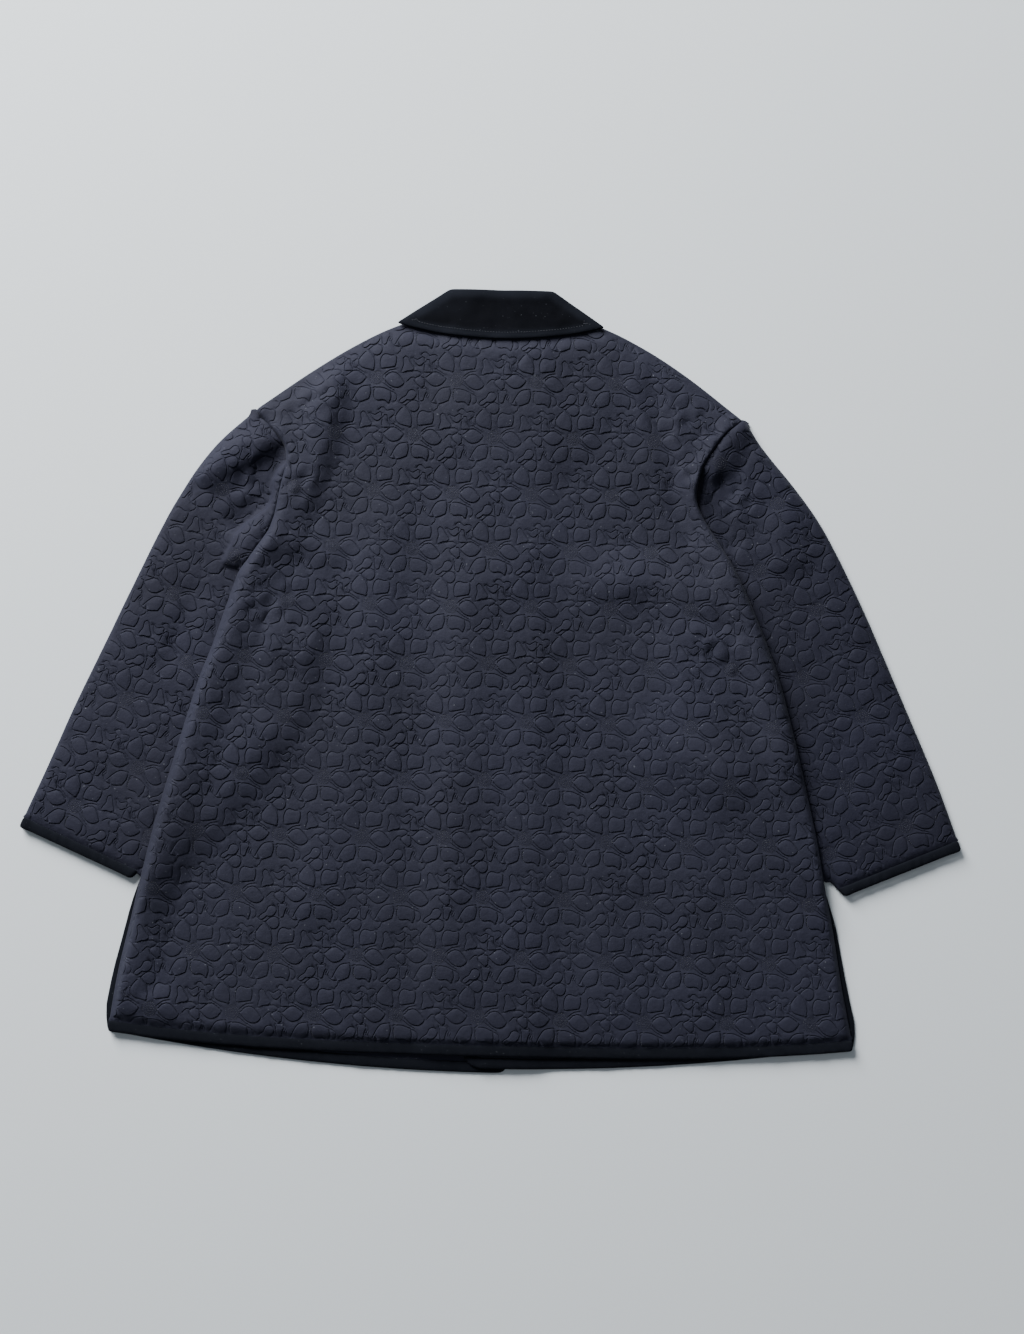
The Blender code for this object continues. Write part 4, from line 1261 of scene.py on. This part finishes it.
def edge_roll(at):
    """How far in from the back's edge its cloth takes to rise: far at the shoulders, and tight elsewhere."""
    shoulder = ease((at[:, 1] - SHOULDER_FOOT_Y) / 0.05)
    left = ease((LEFT_SIDE_X - at[:, 0]) / 0.06)
    seam = np.zeros(len(at))
    for line in ARMHOLES:
        seam = np.maximum(seam, 1 - ease((distance_to(np.array(line), at) - 0.007) / 0.012))
    return (EDGE_RISE + LEFT_RISE * left + SHOULDER_RISE * shoulder) * (1 - seam) + SEAM_RISE * seam


def left_side(edge):
    """The back's left edge, from the armhole down to the hem."""
    line = edge[(edge[:, 0] < -0.2) & (edge[:, 1] < 0.20) & (edge[:, 1] > -0.405)]
    return line[np.argsort(-line[:, 1])]


def back_piece(cotton, rows):
    """The quilted back: it stands in soft folds, rolls over at its sides, and drops under the collar."""
    lie = Lie("back", from_above=False, smooth=0.007)
    creases, lifts = creased(BACK_CREASES), creased(EDGE_LIFTS)
    edge = rounded_outline("back", 0.009)
    side = left_side(edge)
    collar = rounded_outline("collar_fall", 0.012)
    outline = tucked(rounded_outline("back"), [rounded_outline("binding_back_hem", 0.006)])

    def over(at):
        rim = distance_to(edge, at, closed=True) * inside(edge, at)
        collar_gap = distance_to(collar, at, closed=True) * ~inside(collar, at)
        free = ease((collar_gap - 0.002) / 0.014)
        reach = edge_roll(at)
        folds = creases(at) + crumpled(at)
        loft = LOFT * ease(rim / reach) + folds * ease(rim / (0.8 * reach)) + lifts(at)
        away, _, along, _ = nearest_on(side, at)
        crest = ease(away / ROLL_CREST) * (1 - ease((away - ROLL_CREST) / ROLL_WIDTH))
        loft = loft + LEFT_ROLL * crest * ease(along / 0.06) * ease((at[:, 1] + 0.41) / 0.05)
        return lie(at) + CLOTH_WALL + np.maximum(loft * free, -0.0012)

    def under(at):
        rim = distance_to(edge, at, closed=True) * inside(edge, at)
        turned_down = 1 - ease((rim - 0.0024) / 0.005)
        high = over(at) - CLOTH_WALL
        return high + (lie(at) - high) * turned_down

    wall = quilted_wall(outline, under, over, BACK_FLOWER, 0.0)
    piece = mesh_piece("back_panel", [wall], cotton)
    finish_piece(piece, "back")
    declare_sheet(edge, 1)
    flower_stitches("back_stitches", outline, over, BACK_FLOWER, 0.0, rows)


def front_piece(side, cotton):
    name = SIDE_NAMES[side]
    node = f"front_{name}"
    edge = rounded_outline(node, 0.006)
    outline = tucked(edge, [rounded_outline(f"binding_front_{name}", 0.005)])
    lie = Lie(node, from_above=False, smooth=0.006)
    wall = plain_wall(outline, lie, raised(lie, PLAIN_WALL), 0.009)
    piece = mesh_piece(f"front_panel_{name}", [wall], cotton)
    finish_piece(piece, node)
    declare_sheet(edge, 1)


def flap_height():
    """How far the left sleeve's flap stands up: full by the seam, and steep at its free edge."""
    foot = smooth_line(FLAP_EDGE, 0.002)
    flap = np.vstack([foot, smooth_line(FLAP_SEAM, 0.004)])

    def height(at):
        deep = distance_to(foot, at) * inside(flap, at)
        rise = FLAP_LIP * ease(deep / 0.0026) + FLAP_RISE * ease(deep / 0.020)
        return rise * ease((0.262 - at[:, 1]) / 0.03)

    return height


def flap_rows(side, outline):
    """Points along the flap's foot and crest, or none on the other sleeve."""
    if side == RIGHT:
        return None
    foot = smooth_line(FLAP_EDGE, 0.0018)
    rows = [moved_in(foot, way, closed=False) for way in (-0.0004, 0.0016, 0.0036)]
    return kept_inside(apart(np.vstack(rows), 0.0012), outline, 0.003)


def sleeve_piece(side, cotton, rows):
    """A flattened tube: an upper wall that rolls over at its folded edges onto a lower one."""
    name = SIDE_NAMES[side]
    node = f"sleeve_{name}"
    edge = rounded_outline(node)
    body = rounded_outline("back", 0.009)
    cuff = rounded_outline(f"binding_cuff_{name}", 0.005)
    outline = tucked(edge, [cuff])
    outline = tucked(outline, [body], 0.006, 0.005)
    rim_line = spaced(np.vstack([edge, edge[:1]]), 0.008)[:-1]
    top = Lie(node, from_above=True, smooth=0.009)
    creases, lifts = creased(SLEEVE_CREASES[side]), creased(SLEEVE_LIFTS[side])
    flap = flap_height()

    def over(at):
        rim = distance_to(rim_line, at, closed=True) * inside(rim_line, at)
        by_cuff = distance_to(cuff, at, closed=True)
        by_body = distance_to(body, at, closed=True)
        rolled = quarter_round(rim, FOLD_RADIUS)
        folded = ease(by_body / 0.004) * ease((by_cuff - 0.002) / 0.008)
        from_body = np.where(inside(body, at), -by_body, by_body)
        shown = ease((from_body + 0.0048) / 0.0020) * ease(by_cuff / 0.030)
        soft = ease(rim / 0.014) * ease((by_body + 0.004) / 0.012)
        lift = (creases(at) + crumpled(at)) * soft + lifts(at)
        if side == LEFT:
            lift = lift + flap(at)
        sunk = CUFF_SINK * (1 - ease(by_cuff / 0.005))
        high = top(at) - SLEEVE_DROP - sunk + lift * shown - FOLD_DROP * rolled * folded
        return np.maximum(high, SLEEVE_WALL + 0.0016)

    start, turn = SLEEVE_FLOWER[side], side * SLEEVE_TURN
    upper = quilted_wall(outline, raised(over, -SLEEVE_WALL), over, start, turn, flap_rows(side, outline))
    lower = plain_wall(outline, level(0.0), level(SLEEVE_WALL), 0.012)
    piece = mesh_piece(f"sleeve_panel_{name}", [upper, lower], cotton)
    finish_piece(piece, node)
    declare_sheet(edge, 2)
    flower_stitches(f"sleeve_stitches_{name}", outline, over, start, turn, rows)


# Velvet bands: how much they are worn lighter, how far in their crown lies, and how their edges turn
BAND_WEAR = 0.55
CROWN_REACH = 0.0034
BAND_EDGE = (
    Ring(0.0016, 1.00),
    Ring(0.0006, 0.88),
    Ring(0.0001, 0.52),
    Ring(0.0007, 0.12),
    Ring(0.0016, 0.00),
)


def band_height(outline, lie, thick, crown):
    """A folded band of velvet: full along its middle and drawn in a little by its stitching."""

    def over(at):
        rim = distance_to(outline, at, closed=True)
        pucker = 0.00022 * np.sin(at[:, 0] * 620 + 3 * np.sin(at[:, 0] * 90)) * ease(1 - rim / 0.004)
        return lie(at) + thick + crown * np.sqrt(np.clip(rim / CROWN_REACH, 0, 1)) + pucker

    return over


def velvet_band(name, node, pile, spacing=0.0032):
    outline = rounded_outline(node, 0.0024, 0.0024)
    lie = Lie(node, from_above=False, smooth=0.004)
    over = band_height(outline, lie, BAND_WALL, BAND_CROWN)
    points, faces, depth = plain_wall(outline, lie, over, spacing, BAND_EDGE, 0.010)
    piece = mesh_piece(name, [(points, faces, depth + BAND_WEAR)], pile)
    finish_piece(piece, node)
    declare_sheet(outline, 1)


def cuff_band(side, pile):
    """The cuff's binding: one band on the sleeve's upper wall and one on its lower."""
    name = SIDE_NAMES[side]
    node = f"binding_cuff_{name}"
    outline = rounded_outline(node, 0.0024, 0.0022)
    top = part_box(node)[1][2]

    def over(at):
        rim = distance_to(outline, at, closed=True)
        pucker = 0.0003 * np.sin(at[:, 0] * 420 + 2 * np.sin(at[:, 0] * 130))
        crown = CUFF_CROWN * np.sqrt(np.clip(rim / CROWN_REACH, 0, 1))
        return top - CUFF_DROP + crown - CUFF_FOLD_DROP * corner_roll(outline, at) + pucker

    upper = plain_wall(outline, raised(over, -CUFF_WALL), over, 0.0026, BAND_EDGE, 0.008)
    lower = plain_wall(outline, level(0.0), level(CUFF_LOWER_WALL), 0.006, BAND_EDGE, 0.008)
    worn_and_sheened = [(points, faces, depth + BAND_WEAR) for points, faces, depth in (upper, lower)]
    piece = mesh_piece(f"cuff_band_{name}", worn_and_sheened, pile)
    finish_piece(piece, node)
    declare_sheet(outline, 2)


def corner_roll(outline, at):
    """1 at a cuff's two folded ends, and 0 further in than the fold is round."""
    start, end = long_ends(outline)
    along = unit((end - start)[None])[0]
    middle = outline.mean(0)
    reach = np.abs((outline - middle) @ along).max()
    left = reach - np.abs((at - middle) @ along)
    return quarter_round(left, FOLD_RADIUS)


def long_ends(outline):
    """The two points of an outline that lie furthest apart."""
    away = np.linalg.norm(outline[:, None] - outline[None], axis=2)
    i, j = np.unravel_index(away.argmax(), away.shape)
    return outline[i], outline[j]


def collar_piece(pile):
    outline = rounded_outline("collar_fall", 0.0026, 0.0026)
    lie = Lie("collar_fall", from_above=False, smooth=0.005)
    creases = creased(COLLAR_CREASES)
    row = topstitch_line(outline, COLLAR_TOPSTITCH)

    def over(at):
        rim = distance_to(outline, at, closed=True)
        sewn = np.exp(-((distance_to(row, at) / TOPSTITCH_WIDTH) ** 2))
        fold = COLLAR_FOLD * ease((at[:, 1] - 0.425) / 0.02)
        full = COLLAR_WALL + COLLAR_CROWN * np.sqrt(np.clip(rim / COLLAR_CROWN_REACH, 0, 1))
        return lie(at) + full + fold - TOPSTITCH_DEPTH * sewn + creases(at) * ease(rim / COLLAR_CROWN_REACH)

    points, faces, _ = plain_wall(outline, lie, over, 0.0026, BAND_EDGE, 0.010, extra=row)
    # Painted sheen: the collar is lighter along its rim and towards its upper left, where the light falls on
    # it
    rim = distance_to(outline, points[:, :2], closed=True)
    wear_and_sheen = ease((-0.02 - points[:, 0]) / 0.08) * ease((points[:, 1] - 0.405) / 0.02)
    depth = np.clip(0.8 * (1 - ease((rim - 0.006) / 0.008)) + 0.5 * wear_and_sheen, 0, 1)
    piece = mesh_piece("collar", [(points, faces, depth)], pile)
    finish_piece(piece, "collar_fall")
    declare_sheet(outline, 1)
    return row, over


def topstitch_line(outline, inset):
    """The row of stitching along the collar's lower edge, from one end to the other."""
    line = clear_ring(outline, inset)
    line = line[(distance_to(outline, line, closed=True) > 0.97 * inset) & (line[:, 1] < 0.412)]
    line = line[np.argsort(line[:, 0])]
    return spaced(line, 0.0030)


def plain_velvet(node, pile):
    outline = rounded_outline(node, 0.005)
    lie = Lie(node, from_above=False, smooth=0.004)
    wall = plain_wall(outline, lie, raised(lie, PLAIN_WALL), 0.006)
    piece = mesh_piece(f"{node}_cloth", [wall], pile)
    finish_piece(piece, node)
    declare_sheet(outline, 1)


def stage_and_light():
    floor_mesh = bpy.data.meshes.new("floor")
    half = FLOOR_SIZE / 2
    corners = [(-half, -half, 0), (half, -half, 0), (half, half, 0), (-half, half, 0)]
    floor_mesh.from_pydata(corners, [], [(0, 1, 2, 3)])
    floor_mesh.materials.append(pale_floor())
    floor = bpy.data.objects.new("floor", floor_mesh)
    floor.location.z = -0.0004
    bpy.context.scene.collection.objects.link(floor)
    soft_light("window", place=(-2.15, 3.30, 2.15), size=2.7, power=640.0, colour=(1.0, 0.997, 0.992))
    soft_light("fill", place=(0.4, -0.4, 3.6), size=3.0, power=9.0, colour=(0.92, 0.96, 1.0))
    world = bpy.data.worlds.new("room")
    bpy.context.scene.world = world
    world.use_nodes = True
    background = world.node_tree.nodes["Background"]
    background.inputs["Color"].default_value = (0.86, 0.93, 1.0, 1)
    background.inputs["Strength"].default_value = ROOM_LIGHT


def soft_light(name, place, size, power, colour):
    data = bpy.data.lights.new(name, "AREA")
    data.shape = "DISK"
    data.size = size
    data.energy = power
    data.color = colour
    lamp = bpy.data.objects.new(name, data)
    lamp.location = place
    aim = Vector((0, 0, 0)) - Vector(place)
    lamp.rotation_euler = aim.to_track_quat("-Z", "Y").to_euler()
    bpy.context.scene.collection.objects.link(lamp)


def photo_camera():
    data = bpy.data.cameras.new("photo_camera")
    data.lens = LENS_MM
    data.sensor_width = SENSOR_MM
    data.clip_start = 0.05
    camera = bpy.data.objects.new("photo_camera", data)
    camera.location = CAMERA_PLACE
    camera.rotation_euler = (CAMERA_TILT, 0, CAMERA_ROLL)
    bpy.context.scene.collection.objects.link(camera)
    bpy.context.scene.camera = camera


def main():
    photo_camera()
    cotton, pile, thread = quilted_cotton(), velvet(), sewing_thread()
    sleeve_painted_shade_cotton = {}
    # Each sleeve takes its own copy of the cotton, darkened by its shares as painted shade
    for side, painted_shade in SLEEVE_PAINTED_SHADE.items():
        sleeve_painted_shade_cotton[side] = quilted_cotton(f"{SIDE_NAMES[side]}_sleeve_painted_shade_cotton", painted_shade)
    rows = stitch_tree(thread)
    for side in (LEFT, RIGHT):
        front_piece(side, cotton)
        velvet_band(f"front_band_{SIDE_NAMES[side]}", f"binding_front_{SIDE_NAMES[side]}", pile)
    back_piece(cotton, rows)
    velvet_band("back_hem_band", "binding_back_hem", pile, 0.0026)
    for side in (LEFT, RIGHT):
        sleeve_piece(side, sleeve_painted_shade_cotton[side], rows)
        cuff_band(side, pile)
    row, surface = collar_piece(pile)
    lines = [along_surface(row, surface, 0.0001)]
    topstitch = stitched_rows("collar_topstitch", lines, rows, pitch=0.0032, length=0.0024, width=0.0006)
    finish_piece(topstitch, None)
    for node in ("collar_stand", "collar_leaf_left", "collar_leaf_right"):
        plain_velvet(node, pile)
    stage_and_light()


main()
